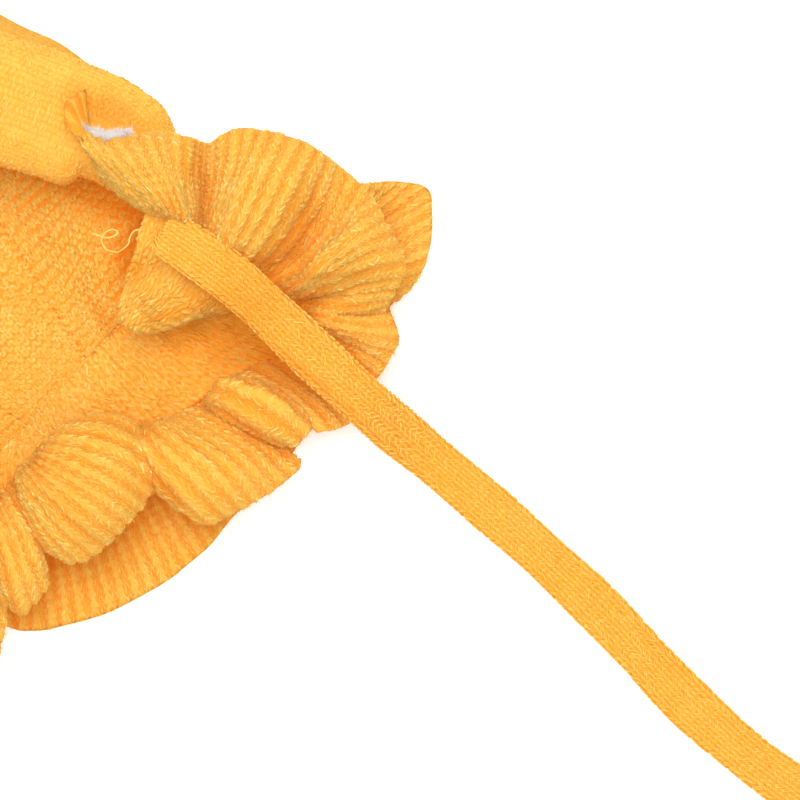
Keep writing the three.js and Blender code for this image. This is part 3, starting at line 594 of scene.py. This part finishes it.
# Materials
class Value:
    """A number in a material: Python sums and products on it add Math nodes."""

    def __init__(self, graph, socket):
        self.graph, self.socket = graph, socket

    def math(self, operation, *others):
        sockets = {0: self.socket}
        for k, other in enumerate(others):
            sockets[k + 1] = other.socket if isinstance(other, Value) else other
        return Value(self.graph, self.graph.node("Math", {"operation": operation}, sockets).outputs[0])

    def __add__(self, other):
        return self.math("ADD", other)

    def __sub__(self, other):
        return self.math("SUBTRACT", other)

    def __rsub__(self, other):
        return self * -1 + other

    def __mul__(self, other):
        return self.math("MULTIPLY", other)

    def __mod__(self, other):
        return self.math("FLOORED_MODULO", other)

    def __abs__(self):
        return self.math("ABSOLUTE")

    __radd__, __rmul__ = __add__, __mul__


class Graph:
    """The node tree of one new material."""

    def __init__(self, name):
        self.material = bpy.data.materials.new(name)
        self.material.use_nodes = True
        self.tree = self.material.node_tree
        self.tree.nodes.clear()

    def node(self, kind, settings, sockets):
        """New node of a type: settings first, then values or links by socket name or number."""
        node = self.tree.nodes.new("ShaderNode" + kind)
        for key, setting in settings.items():
            if key == "stops":
                ramp = node.color_ramp.elements
                while len(ramp) < len(setting):
                    ramp.new(1)
                for element, (place, colour) in zip(ramp, setting):
                    element.position, element.color = place, (*colour, 1)
            else:
                setattr(node, key, setting)
        for key, value in sockets.items():
            if isinstance(value, Value):
                value = value.socket
            if isinstance(value, bpy.types.NodeSocket):
                self.tree.links.new(value, node.inputs[key])
            else:
                node.inputs[key].default_value = value
        return node

    def noise(self, scale, detail, vector=None, **mapping):
        """Noise at each place of the piece, or along another vector, moved or stretched by a mapping."""
        vector = vector or self.node("TexCoord", {}, {}).outputs["Object"]
        if mapping:
            vector = self.node("Mapping", {}, {"Vector": vector, **mapping}).outputs[0]
        node = self.node("TexNoise", {}, {"Vector": vector, "Scale": scale, "Detail": detail})
        return Value(self, node.outputs["Fac"])

    def stitches(self):
        """Wales and rows from the piece's UV map."""
        uv = self.node("UVMap", {"uv_map": "stitches"}, {}).outputs[0]
        split = self.node("SeparateXYZ", {}, {0: uv})
        return Value(self, split.outputs[0]), Value(self, split.outputs[1]), uv

    def yarn_colour(self, shade, middle, light, tips):
        """Yarn colour from the deepest at 0, with the places of three lighter ones; in the knits the deep
        end is painted shade.
        """
        stops = [(0.0, YARN_DEEP), (middle, YARN_MIDDLE), (light, YARN_LIGHT), (tips, YARN_TIPS)]
        return self.node("ValToRGB", {"stops": stops}, {0: shade}).outputs[0]

    def surface(self, colour, height, depth, roughness, sheen, tint, strength=1.0, painted_shade_and_glow=True):
        """Principled surface with a bump of this height, finished as the material's output.

        A yarn with painted shade and glow takes a darker colour where it lies in the folds, as painted
        shade, and gives off its own colour as a painted glow.
        """
        if painted_shade_and_glow:
            # Painted shade: the colour darkens towards the fold shade colour as far as the vertex lies in
            # the folds
            uv = self.node("UVMap", {"uv_map": "depth"}, {}).outputs[0]
            shade_share = Value(self, self.node("SeparateXYZ", {}, {0: uv}).outputs[0])
            colour = self.node("Mix", {"data_type": "RGBA", "blend_type": "MULTIPLY"}, {
                0: shade_share, 6: colour, 7: (*PAINTED_FOLD_SHADE, 1)}).outputs[2]
        bump = self.node("Bump", {}, {"Strength": strength, "Distance": depth * MM, "Height": height})
        # Painted glow: the yarn gives off its own colour, which lifts its shade in the folds
        shader = self.node("BsdfPrincipled", {}, {
            "Base Color": colour, "Roughness": roughness, "Normal": bump.outputs[0],
            "Sheen Weight": sheen, "Sheen Roughness": 0.4, "Sheen Tint": (*tint, 1),
            "Specular IOR Level": 0.15, "Emission Color": colour,
            "Emission Strength": PAINTED_GLOW if painted_shade_and_glow else 0.0})
        self.node("OutputMaterial", {}, {"Surface": shader.outputs[0]})
        return self.material


# Painted shade: what lying deep in the folds takes from the yarn's colour
PAINTED_FOLD_SHADE = (0.9, 0.64, 0.34)
# Painted glow, standing in for light that reaches the folds through the wool: the yarn gives off its own
# colour, as a share of full white light
PAINTED_GLOW = 0.12

# Yarn from the depth of a stitch to its brushed tips; the deep end is painted shade in the stitches' hollows
YARN_DEEP = (0.87, 0.255, 0.014)
YARN_MIDDLE = (0.94, 0.41, 0.037)
YARN_LIGHT = (0.97, 0.57, 0.095)
YARN_TIPS = (1.0, 0.75, 0.25)
YARN_SHEEN = (1.0, 0.64, 0.2)


def knit(name, relief, brushed=0.0, depth=0.8):
    """Knitted yarn: stitch bump and painted shade in the hollows from the UV map, mottling and fibres from
    noise.

    relief is the stitch's formula. brushed from 0 to 1 hides the stitches under raised fibres.
    """
    graph = Graph(name)
    wales, rows, _ = graph.stitches()
    wander = graph.noise(160, 2) - 0.5
    drift = graph.noise(150, 2, Location=(3, 1, 2)) - 0.5
    stitch = relief(wales + 0.35 * wander, rows + 0.35 * drift)
    fibres, mottle, broad = graph.noise(1500, 4), graph.noise(220, 3), graph.noise(28, 2)
    height = stitch * (1 - brushed * (1.2 - 0.35 * brushed)) + 0.55 * fibres + 0.5 * mottle
    # Painted shade: darker where the stitch's relief is low, between the raised strands; the noise adds the
    # yarn's own uneven tone
    shade = (0.5 * (1 - 0.5 * brushed) * stitch + 0.34 * fibres + 0.3 * mottle + 0.2 * broad - 0.24
             + 0.3 * brushed)
    return graph.surface(graph.yarn_colour(shade, 0.35, 0.68, 1.0), height, depth, 0.95, 0.35, YARN_SHEEN)


def strand(name):
    """Yarn of a raised stitch: fine streaks along it, and each length lighter or darker as a whole."""
    graph = Graph(name)
    _, _, uv = graph.stitches()
    fine = graph.noise(1.0, 3, uv, Scale=(9, 2.2, 1))
    whole = graph.noise(1.0, 1, uv, Scale=(0.9, 0.05, 1))
    shade = 1.3 * fine + 0.8 * whole + 0.3 * graph.noise(40, 2) - 0.6
    return graph.surface(graph.yarn_colour(shade, 0.3, 0.6, 0.9), fine, 0.35, 0.95, 0.35, YARN_SHEEN)


def plain_fibre(name, low, high, sheen_tint, painted_shade_and_glow=True):
    """Loose fibres: colour between two shades by a fine noise."""
    graph = Graph(name)
    tone = graph.noise(90, 2)
    colour = graph.node("ValToRGB", {"stops": [(0.3, low), (0.7, high)]}, {0: tone}).outputs[0]
    return graph.surface(colour, tone, 0.1, 0.9, 0.3, sheen_tint, 0.1, painted_shade_and_glow)


stocking_knit = knit("stocking_knit", stocking_relief)
soft_knit = knit("brushed_knit", stocking_relief, brushed=0.85)
purl_knit = knit("purl_knit", purl_relief)
rib_knit = knit("rib_knit", rib_shade)
tie_knit = knit("tie_knit", stocking_relief, depth=0.5)
band_knit = knit("band_knit", stocking_relief, brushed=0.25, depth=0.6)
yarn = strand("yarn")
# Thread lighter than the yarn: on the legs of the Vs it is painted highlight, the loose end is pale yarn
highlight_and_pale_thread = plain_fibre("highlight_and_pale_thread", (1.0, 0.58, 0.1), (1.0, 0.76, 0.24), (1.0, 0.8, 0.4))
loose_fibre = plain_fibre("loose_fibre", (0.96, 0.46, 0.05), (1.0, 0.66, 0.18), (1.0, 0.7, 0.3))
fleece = plain_fibre("white_fleece", (0.78, 0.76, 0.75), (0.92, 0.9, 0.89), (1.0, 1.0, 1.0), painted_shade_and_glow=False)


# Fibres standing off a surface
def fuzz(name, points, ways, along, count, length, width, seed, lift=0.5, slot="knit"):
    """Joined thin fibres: each starts on a grid's face and bends over once, as two faces.

    points, ways and along are the grid's points, normals and a direction in it. A fibre leaves along a
    random direction of the surface, lifted by a share of its length.
    """
    draw = np.random.default_rng(seed)
    n, m = points.shape[:2]
    i = draw.integers(0, n - 1, count)
    j = draw.integers(0, m - 1, count)
    a, b = draw.random((2, count, 1))
    base = sample(points, (i + a[:, 0]) / (n - 1), (j + b[:, 0]) / (m - 1))
    normal, first = ways[i, j], unit(along[i, j])
    turn = draw.uniform(0, CIRCLE, (count, 1))
    heading = first * np.cos(turn) + np.cross(normal, first) * np.sin(turn)
    size = length * draw.uniform(0.45, 1.25, (count, 1))
    rise = lift * draw.uniform(0.2, 1.2, (count, 1))
    swing = np.cross(normal, heading) * draw.normal(0, 0.28, (count, 1))
    middle = base + size * 0.5 * unit(heading + normal * rise)
    droop = normal * rise * draw.uniform(-1.0, 0.9, (count, 1))
    tip = middle + size * 0.5 * unit(heading + 2.2 * swing + droop)
    across = np.cross(heading, normal) * 0.5 * width
    start = base - normal * 0.15
    ring = [start - across, start + across, middle + 0.8 * across, middle - 0.8 * across, tip]
    number = 5 * np.arange(count)[:, None]
    faces = [number + np.array([[0, 1, 2, 3]]), number + np.array([[3, 2, 4]])]
    material = fleece if slot == "fleece" else loose_fibre
    return mesh_piece(name, np.stack(ring, axis=1).reshape(-1, 3), faces, [material])


def nap(name, points, ways, count, length, width, seed):
    """Joined short hairs, one face each, leaning every way off a grid."""
    draw = np.random.default_rng(seed)
    u, v = draw.random((2, count))
    normal = unit(sample(ways, u, v))
    base = sample(points, u, v) - 0.1 * normal
    heading = unit(np.cross(normal, draw.normal(size=(count, 3))))
    size = length * draw.uniform(0.5, 1.3, (count, 1))
    tip = base + size * unit(heading + normal * draw.uniform(0.25, 1.3, (count, 1)))
    across = np.cross(heading, normal) * 0.5 * width
    vertices = np.stack([base - across, base + across, tip], axis=1).reshape(-1, 3)
    return mesh_piece(name, vertices, [np.arange(3 * count).reshape(-1, 3)], [loose_fibre])


def yarn_lengths(name, points, ways, u, v, high, width, material, sunk=0.3):
    """Joined short lengths of yarn lying on a grid: each a low rounded ridge along its own stations.

    u and v are places from 0 to 1 in the grid, one row for each length of yarn and one column for each
    station; high is the ridge's height and width its width there, in millimetres.
    """
    count, stations = u.shape
    base, normal = sample(points, u, v), unit(sample(ways, u, v))
    ahead = unit(np.gradient(base, axis=1))
    across = unit(np.cross(ahead, normal)) * (0.5 * width)[..., None]
    foot = base - normal * sunk
    top = base + normal * high[..., None]
    vertices = np.stack([foot - across, top, foot + across], axis=2)
    first = 3 * stations * np.arange(count)[:, None]
    places = np.meshgrid(np.arange(count) * 7.31, np.linspace(0, 1, stations), [0, 0.5, 1], indexing="ij")
    uv = np.stack([places[2] + places[0], places[1]], axis=-1).reshape(-1, 2)
    faces = [first + np.array([[a, a + 3, a + 4, a + 1]])
             for k in range(stations - 1) for a in (3 * k, 3 * k + 1)]
    return mesh_piece(name, vertices.reshape(-1, 3), faces, [material], [uv[face] for face in faces])


def wale_width(points, u, v, wales):
    """Width of a stitch at places of a grid, in millimetres."""
    return size_of(sample(np.gradient(points, axis=0), u, v)) * (len(points) - 1) / wales


def leg_places(centres, wales, rows):
    """Wale's middle, row and side of each leg of the Vs; centres are the wales' middles, or all of them."""
    centres = np.arange(int(wales)) + 0.5 if centres is None else centres
    places = np.meshgrid(centres, np.arange(int(rows) + 1), [-1, 1], indexing="ij")
    return [place.ravel() for place in places]


def vees(name, points, ways, wales, rows, seed, centres=None, spread=0.44, width=1.25, high=0.5,
         crowded=0, stations=4, wander=0.07):
    """Yarn in the two legs of each V of a smooth knit, every leg a little out of true.

    The grid has wales stitches across its first direction and rows along its second. A leg starts high
    at its wale's edge and runs down to the wale's middle. Where the wales crowd under the crowded
    width, every second one is left out and the others are wider.
    """
    draw = np.random.default_rng(seed)
    middle, row, leg = leg_places(centres, wales, rows)
    room = wale_width(points, middle / wales, (row + 0.5) / rows, wales)
    tight = room < crowded
    broad = np.where(tight, 2, 1)
    count = len(middle)
    along = np.linspace(0, 1, stations)
    swing = draw.normal(0, wander, (count, 1)) + draw.normal(0, 0.6 * wander, (count, stations))
    side = spread * (1 - 0.85 * along) * broad[:, None]
    reach = draw.normal(1.1, 0.14, (count, 1))
    u = (middle[:, None] + leg[:, None] * (side + swing)) / wales
    v = (row[:, None] + 0.5 + (0.5 - along) * reach + draw.normal(0, 1.3 * wander, (count, 1))) / rows
    kept = (v.min(axis=1) > -0.02) & (v.max(axis=1) < 1.03) & ~(tight & (np.floor(middle) % 2 == 0))
    kept &= room > 0.3 * crowded
    swell = np.sin(math.pi * (0.08 + 0.84 * along)) ** 0.6
    height = high * swell * draw.uniform(0.7, 1.3, (count, 1))
    thick = width * (0.45 + 0.55 * swell) * draw.uniform(0.8, 1.15, (count, 1))
    thick *= np.clip(room * broad / (2 * width * spread / 0.44), 0.4, 1)[:, None]
    return yarn_lengths(name, points, ways, u[kept], v[kept], height[kept], thick[kept], yarn)


def threads(name, points, ways, wales, rows, seed, centres=None, spread=0.44, high=0.62, share=0.4):
    """Joined light threads, thinner than the yarn, that lie loosely on the legs of a smooth knit: painted
    highlights.
    """
    draw = np.random.default_rng(seed)
    places = leg_places(centres, wales, rows)
    kept = draw.random(len(places[0])) < share
    middle, row, leg = (place[kept][:, None] for place in places)
    count = len(middle)
    along = np.linspace(0, 1, 4)
    side = spread * (0.95 - 0.9 * along) + draw.normal(0, 0.1, (count, 1)) + draw.normal(0, 0.05, (count, 4))
    u = (middle + leg * side) / wales
    reach = draw.uniform(0.35, 0.85, (count, 1))
    v = (row + draw.uniform(0.2, 0.8, (count, 1)) + (0.5 - along) * reach) / rows
    swell = np.sin(math.pi * (0.1 + 0.8 * along))
    height = high * (0.6 + 0.4 * swell) * draw.uniform(0.7, 1.4, (count, 1))
    thick = draw.uniform(0.22, 0.42, (count, 1)) * swell
    u, v = np.clip(u, 0, 1), np.clip(v, 0, 1)
    return yarn_lengths(name, points, ways, u, v, height, thick, highlight_and_pale_thread, 0)


def purls(name, points, ways, wales, rows, seed, width=1.45, high=0.95, share=1.0):
    """Yarn in the bumps of the rough side: in each row, arcs that bow up and down by turns.

    share is how many of the bumps show through the nap.
    """
    draw = np.random.default_rng(seed)
    places = np.meshgrid(np.arange(int(wales)), np.arange(int(rows)), [0, 1], indexing="ij")
    kept = draw.random(places[0].size) < share
    wale, row, turn = (place.ravel()[kept][:, None] for place in places)
    count = len(wale)
    along = np.linspace(-1, 1, 4)
    u = (wale + 0.25 + 0.5 * turn + 0.36 * along + draw.normal(0, 0.06, (count, 1))) / wales
    bow = (1 - 2 * turn) * 0.34 * np.cos(0.5 * math.pi * along)
    v = (row + 0.5 + bow + draw.normal(0, 0.09, (count, 1)) + draw.normal(0, 0.04, (count, 4))) / rows
    swell = np.cos(0.5 * math.pi * along * 0.88) ** 0.5
    height = high * swell * draw.uniform(0.6, 1.3, (count, 1))
    thick = width * (0.5 + 0.5 * swell) * draw.uniform(0.8, 1.2, (count, 1))
    u, v = np.clip(u, 0, 1), np.clip(v, 0, 1)
    return yarn_lengths(name, points, ways, u, v, height, thick, yarn)


def sample(grid, u, v):
    """Values of a grid at places from 0 to 1 in its two directions, linear between its points."""
    n, m = grid.shape[:2]
    a = np.clip(u, 0, 1) * (n - 1)
    b = np.clip(v, 0, 1) * (m - 1)
    i, j = np.minimum(a.astype(int), n - 2), np.minimum(b.astype(int), m - 2)
    a, b = (a - i)[..., None], (b - j)[..., None]
    return (grid[i, j] * (1 - a) * (1 - b) + grid[i + 1, j] * a * (1 - b)
            + grid[i, j + 1] * (1 - a) * b + grid[i + 1, j + 1] * a * b)


# Camera and studio. The picture is 800 pixels wide and shows the bonnet's lower right corner
PIXEL = 0.32
PICTURE = 800
REFERENCE_HEIGHT = 16
CAMERA_HEIGHT = 1700
PICTURE_CENTRE = (76.63, -151.99)
SENSOR = 36


def camera():
    """Straight down, turned so that the crown points to the picture's upper left."""
    data = bpy.data.cameras.new("camera")
    data.sensor_width = SENSOR
    data.lens = SENSOR * (CAMERA_HEIGHT - REFERENCE_HEIGHT) / (PIXEL * PICTURE)
    data.clip_end = 20
    eye = bpy.data.objects.new("camera", data)
    eye.location = (PICTURE_CENTRE[0] * MM, PICTURE_CENTRE[1] * MM, CAMERA_HEIGHT * MM)
    eye.rotation_euler = (0, 0, -math.pi / 4)
    bpy.context.scene.collection.objects.link(eye)
    bpy.context.scene.camera = eye


def area_light(name, place, target, size, power):
    """Square soft light at a place in millimetres, facing a target."""
    data = bpy.data.lights.new(name, "AREA")
    data.size = size * MM
    data.energy = power
    lamp = bpy.data.objects.new(name, data)
    place, target = np.array(place, float), np.array(target, float)
    lamp.location = place * MM
    back = unit(place - target)
    side = unit(np.cross([0.01, 1, 0.02], back))
    up = np.cross(back, side)
    matrix = np.eye(4)
    matrix[:3, 0], matrix[:3, 1], matrix[:3, 2], matrix[:3, 3] = side, up, back, place * MM
    lamp.matrix_world = [list(row) for row in matrix.T]
    bpy.context.scene.collection.objects.link(lamp)


def studio():
    """Pale floor, even sky and two soft lights."""
    scene = bpy.context.scene
    scene.view_settings.view_transform = "Standard"
    world = bpy.data.worlds.new("studio")
    scene.world = world
    world.use_nodes = True
    world.node_tree.nodes["Background"].inputs[0].default_value = (1, 1, 1, 1)
    world.node_tree.nodes["Background"].inputs[1].default_value = 0.52
    area_light("key_light", (420, 330, 2300), (20, -90, 0), 1500, 37)
    area_light("fill_light", (-700, -900, 1900), (20, -90, 0), 800, 6)
    graph = Graph("pale_floor")
    shader = graph.node("BsdfPrincipled", {}, {
        "Base Color": (0.9, 0.9, 0.9, 1), "Roughness": 0.9, "Specular IOR Level": 0.1,
        "Emission Color": (1, 1, 1, 1), "Emission Strength": 0.42})
    graph.node("OutputMaterial", {}, {"Surface": shader.outputs[0]})
    half = 6000
    corners = np.array([(-half, -half, 0), (half, -half, 0), (half, half, 0), (-half, half, 0)], float)
    mesh = bpy.data.meshes.new("floor")
    mesh.from_pydata((corners * MM).tolist(), [], [(0, 1, 2, 3)])
    mesh.materials.append(graph.material)
    floor = bpy.data.objects.new("floor", mesh)
    bpy.context.scene.collection.objects.link(floor)


# Ties: points round the section, how square it is, how far it spreads, half its thickness without the
# raised yarn, and how far the sewn end is drawn in
TIE_LAYERS = 26
TIE_SQUARE = 6
TIE_SPREAD = 1.03
TIE_HALF = 0.5 * TIE_THICKNESS - 0.25
TIE_SEWN = 4


def tie(name, route, seed):
    """Flat strap: a rounded section of the tie's width and thickness carried along its route.

    It is drawn in at its sewn end and a little narrower in places.
    """
    _, length = smooth_route(route, 10)
    steps = int(length / (TIE_ROW / 2))
    centre, length = smooth_route(route, steps)
    _, sideways, upward = frame_along(centre)
    angle = np.linspace(0, CIRCLE, TIE_LAYERS + 1)
    across = np.cos(angle) * 0.5 * TIE_WIDTH * TIE_SPREAD
    over = np.sign(np.sin(angle)) * np.sqrt(1 - np.cos(angle) ** TIE_SQUARE) * TIE_HALF
    run = np.linspace(0, length, steps + 1)[:, None]
    wales, rows = across / TIE_WALE + 0.5 + 0 * run, run / TIE_ROW + 0 * across
    relief = 0.12 * ripple(np.stack([rows, wales, rows * 0], axis=-1), 5, 44 + seed)
    sewn = 0.75 + 0.25 * np.sqrt(1 - (1 - np.clip(run / TIE_SEWN, 0, 1)) ** 2)
    uneven = 1 - 0.05 * (0.5 + 0.5 * np.sin(run / 23 + seed)) - 0.03 * np.sin(run / 7 + 2 * seed)
    points = swept(centre, sideways, upward, across * sewn * uneven, over + np.sign(over) * relief)
    piece = tube(name, points[:, :-1], np.stack([wales, rows], axis=-1), tie_knit)
    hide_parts(name)
    ways = normals(points)
    fuzz(name + "_fuzz", points, ways, np.gradient(points, axis=0), 3600, 2.6, 0.09, 40 + seed, lift=0.45)
    upper = slice(0, TIE_LAYERS // 2 + 1)
    face, out = points[:, upper].transpose(1, 0, 2), ways[:, upper].transpose(1, 0, 2)
    counts = (round(line_length(face[:, 0]) / TIE_WALE), length / TIE_ROW)
    vees(name + "_stitches", face, out, *counts, 60 + seed, width=1.35, high=0.55)
    threads(name + "_threads", face, out, *counts, 64 + seed, high=0.6)


# Ruffles
def ruffle(name, folds, drape, drop, steps, seed, fibre_count):
    """Ribbed strip: the fold surface, its ribs sharing the hem evenly and tightening to the base."""
    _, hem = hem_places(folds, drape, drop, 10)
    wales = int(hem / RIB_WALE / 2) * 2
    places, _ = hem_places(folds, drape, drop, wales * RIB_POINTS)
    u, v = np.meshgrid(places, np.linspace(0, 1, steps + 1), indexing="ij")
    middle = ruffle_surface(folds, drape, drop, u, v)
    rows = round(size_of(np.diff(middle, axis=1)).sum(axis=1).mean() / ROW)
    way = normals(middle)
    count = np.linspace(0, wales, wales * RIB_POINTS + 1)[:, None] + np.zeros_like(v)
    row = v * rows
    crumple = ripple(middle, 26, seed) * 0.9 * v + ripple(middle, 9, seed + 1) * 0.35
    middle = middle + way * (crumple * np.where(drop > 0, 0.4, 1.0))[..., None]
    pleats = (1 - np.clip(v / 0.35, 0, 1)) ** 1.5
    front = RIB_RELIEF * rib_relief(count, row) * (1 - 0.3 * pleats)
    back = RIB_RELIEF * rib_relief(count + 1, row)
    hem_roll = 0.35 * np.exp(-(((1 - v) * RUFFLE_DEPTH / 2.2) ** 2))
    stitches = np.stack([count, row], axis=-1)
    reliefs = (front + hem_roll, back + hem_roll)
    piece, top, _, way = shell(name, middle, RUFFLE_WALL - YARN_ALLOWANCE, stitches, reliefs, [rib_knit])
    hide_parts(name)
    fuzz(name + "_fuzz", top, way, np.gradient(middle, axis=1), fibre_count, 3.0, 0.12, seed + 7)
    nap(name + "_nap", top, way, 3 * fibre_count, 1.7, 0.16, seed + 11)
    crests, valleys = np.arange(1, wales, 2), np.arange(2, wales, 2)
    vees(name + "_stitches", top, way, wales, rows, seed + 8, crests, 0.55, 1.1, 0.6, 0.9)
    vees(name + "_valleys", top, way, wales, rows, seed + 9, valleys, 0.4, 0.8, 0.3, 1.5, 3)
    threads(name + "_threads", top, way, wales, rows, seed + 10, crests, 0.62)


def neck_band(fibre_count):
    """Smooth band between the gathering line and the head, with soft puffs."""
    length = line_length(neck_point(np.linspace(0, 1, 400)))
    wales, rows = round(BAND_SHARE * length / WALE), BAND_ROWS
    u, v = unit_grid(wales * BAND_POINTS + 1, rows * BAND_POINTS + 1)
    middle = neck_band_surface(u, v)
    puff = (ripple(middle, 30, 5) * 2.4 + ripple(middle, 13, 6) * 1.3) * np.sin(math.pi * v)
    middle = middle + normals(middle) * puff[..., None]
    stitches = np.stack([u * wales, v * rows], axis=-1)
    room = np.clip(wale_width(middle, u, v, wales) / WALE, 0, 1)
    relief = STITCH_RELIEF * room**2 * stocking_relief(stitches[..., 0], stitches[..., 1])
    piece, _, top, down = shell("neck_band", middle, WALL - YARN_ALLOWANCE, stitches, (relief, relief),
                                [band_knit])
    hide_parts("neck_band")
    fuzz("neck_band_fuzz", top, -down, np.gradient(middle, axis=1), fibre_count, 3.4, 0.1, 15)
    nap("neck_band_nap", top, -down, 2 * fibre_count, 1.4, 0.12, 18)
    vees("neck_band_stitches", top, -down, wales, rows, 16, None, 0.46, 1.5, 1.2, 1.7, wander=0.11)
    threads("neck_band_threads", top, -down, wales, rows, 17, high=1.2)


def head_panel(name, middle, wale_count, row_count, fibre_count, seed):
    """Panel of the head: rough purl side inside, smooth side outside."""
    u, v = unit_grid(*middle.shape[:2])
    stitches = np.stack([u * wale_count, v * row_count], axis=-1)
    reliefs = (PURL_RELIEF * purl_relief(u * wale_count, v * row_count),
               0.6 * PURL_RELIEF * stocking_relief(u * wale_count, v * row_count))
    piece, inside, outside, way = shell(name, middle, WALL - YARN_ALLOWANCE, stitches, reliefs,
                                        [purl_knit, stocking_knit])
    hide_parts(name)
    along = np.gradient(middle, axis=0)
    fuzz(name + "_fuzz", inside, way, along, fibre_count, 3.0, 0.1, seed)
    nap(name + "_nap", inside, way, 2 * fibre_count, 1.6, 0.14, seed + 3)
    purls(name + "_stitches", inside, way, wale_count, row_count, seed + 2)
    fuzz(name + "_outer_fuzz", outside, -way, along, fibre_count // 2, 3.0, 0.07, seed + 1)


def head():
    """Middle strip and the two side walls."""
    u, v = unit_grid(2 * BACK_WALES + 1, 2 * BACK_ROWS + 1)
    head_panel("back_panel", back_surface(2 * u - 1, v), BACK_WALES, BACK_ROWS, 3500, 21)
    u, v = unit_grid(2 * SIDE_WALES + 1, 2 * SIDE_ROWS + 1)
    right = side_surface(u, v)
    puff = ripple(right, 34, 31) * 2.0 * np.sin(math.pi * u) ** 0.7 * np.sin(math.pi * v)
    right = right + normals(right) * puff[..., None]
    head_panel("side_panel_right", right, SIDE_WALES, SIDE_ROWS, 7000, 23)
    head_panel("side_panel_left", right[::-1] * MIRRORED, SIDE_WALES, SIDE_ROWS, 3000, 25)


# Roll round the face opening: its grid, its stitches, how far from its ends the inner half tapers, and
# the pocket pressed into it beside the ruffle's first lip
ROLL_STEPS = 340
ROLL_SIDES = 60
ROLL_WALES = 27
ROLL_ROWS = 150
ROLL_TAPER = 0.3
ROLL_END = 0.03
POCKET_PLACE = (77, -25)
POCKET_REACH = 9
POCKET_DEPTH = 5


def face_roll():
    """Soft roll round the face opening: an oval section along its line, brushed and a little lumpy."""
    at = np.linspace(0, 2, ROLL_STEPS + 1)
    centre, inward, wide, thick = roll_line(at)
    angle = np.linspace(0, CIRCLE, ROLL_SIDES + 1)[None, :]
    from_end = np.minimum(at, 2 - at)[:, None]
    end = np.clip(from_end / ROLL_END, 0, 1) ** 0.5
    toward = np.clip(from_end / ROLL_TAPER, 0, 1)
    inner = 0.3 + 0.7 * toward**2 * (3 - 2 * toward)
    wide = wide * end * np.where(np.cos(angle) > 0, inner, 1)
    points = swept(centre, inward, UPWARD, wide * np.cos(angle), thick * end * np.sin(angle))
    wales = angle / CIRCLE * ROLL_WALES + 0 * at[:, None]
    rows = at[:, None] / 2 * ROLL_ROWS + 0 * angle
    lumps = ripple(points, 40, 51) * 1.5 + ripple(points, 17, 52) * 0.8 - 1.6
    shape = lumps * end + 0.35 * stocking_relief(wales, rows) - 0.4
    points = points + normals(points) * shape[..., None]
    pocket = np.exp(-(size_of(points[..., :2] - POCKET_PLACE) / POCKET_REACH) ** 2)
    points[..., 2] -= POCKET_DEPTH * pocket * (np.sin(angle) > 0)
    points[:, -1] = points[:, 0]
    piece = tube("face_roll", points[:, :-1], np.stack([wales, rows], axis=-1), soft_knit)
    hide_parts("face_roll")
    out = normals(points)
    fuzz("face_roll_fuzz", points, out, np.gradient(points, axis=0), 9000, 4.2, 0.12, 53, lift=0.6)
    nap("face_roll_nap", points, out, 20000, 2.2, 0.16, 55)
    face, outward = points.transpose(1, 0, 2), out.transpose(1, 0, 2)
    purls("face_roll_stitches", face, outward, ROLL_WALES, 130, 54, width=1.7, high=0.6, share=0.5)


# White fleece: from where to where on the gathering line, and its size, place outside the hem and drop
FLEECE_FROM, FLEECE_TO = 0.017, 0.04
FLEECE_RADIUS = 1.5
FLEECE_OUT = 1.2
FLEECE_DOWN = 1.6


def tuft():
    """White fleece along the ruffle's first lip: a thin uneven roll just outside the hem, all fibres."""
    at = np.linspace(FLEECE_FROM, FLEECE_TO, 70)
    hem = ruffle_surface(UPPER_FOLDS, UPPER_DRAPE, 0, at, np.ones_like(at))
    ahead, outward, _ = frame_along(hem)
    outward *= np.sign((outward * (hem - neck_point(at))).sum(axis=-1, keepdims=True))
    centre = hem + outward * FLEECE_OUT - FLEECE_DOWN * UPWARD
    angle = np.linspace(0, CIRCLE, 17)[None, :]
    share = np.linspace(0, 1, len(at))
    size = FLEECE_RADIUS * np.sqrt(np.sin(math.pi * (0.03 + 0.94 * share))) * (1.2 - 0.6 * share)
    size = (size * (1 + 0.5 * ripple(hem, 6, 61)))[:, None]
    points = swept(centre, outward, np.cross(ahead, outward), size * np.cos(angle), size * np.sin(angle))
    points[:, -1] = points[:, 0]
    if (normals(points) * (points - centre[:, None])).sum() < 0:
        points = points[:, ::-1]
    piece = tube("fleece_tuft", points[:, :-1], np.zeros((*points.shape[:2], 2)), fleece)
    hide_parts("fleece_tuft")
    along = np.gradient(points, axis=0)
    fuzz("fleece_tuft_fuzz", points, normals(points), along, 2600, 2.4, 0.1, 62, 0.9, "fleece")


LOOSE_END_RADIUS = 0.28


def loose_end():
    """Thin loose end of yarn, lying in open loops just above the inner corner."""
    centre, _ = smooth_route([(*spot, 0) for spot in LOOSE_END], 160)
    cells = (centre[:, :2] - MAP_LOW) / (np.array(MAP_SIZE) - 1)
    centre[:, 2] = sample(HEIGHTS[0][..., None], cells[:, 0], cells[:, 1])[:, 0].max() + 1
    _, sideways, upward = frame_along(centre)
    angle = np.linspace(0, CIRCLE, 7)[None, :]
    size = LOOSE_END_RADIUS * (1 + 0.3 * ripple(centre, 3, 91))[:, None]
    points = swept(centre, sideways, upward, size * np.cos(angle), size * np.sin(angle))
    tube("loose_end", points[:, :-1], np.zeros((*points.shape[:2], 2)), highlight_and_pale_thread)


HEIGHTS = height_map()
camera()
studio()
tie("tie_right", RIGHT_TIE_ROUTE, 1)
tie("tie_left", LEFT_TIE_ROUTE, 2)
ruffle("ruffle_upper", UPPER_FOLDS, UPPER_DRAPE, drop=0, steps=30, seed=70, fibre_count=11000)
ruffle("ruffle_lower", LOWER_FOLDS, LOWER_DRAPE, drop=TIER_DROP, steps=26, seed=80, fibre_count=5500)
neck_band(fibre_count=4000)
head()
face_roll()
tuft()
loose_end()
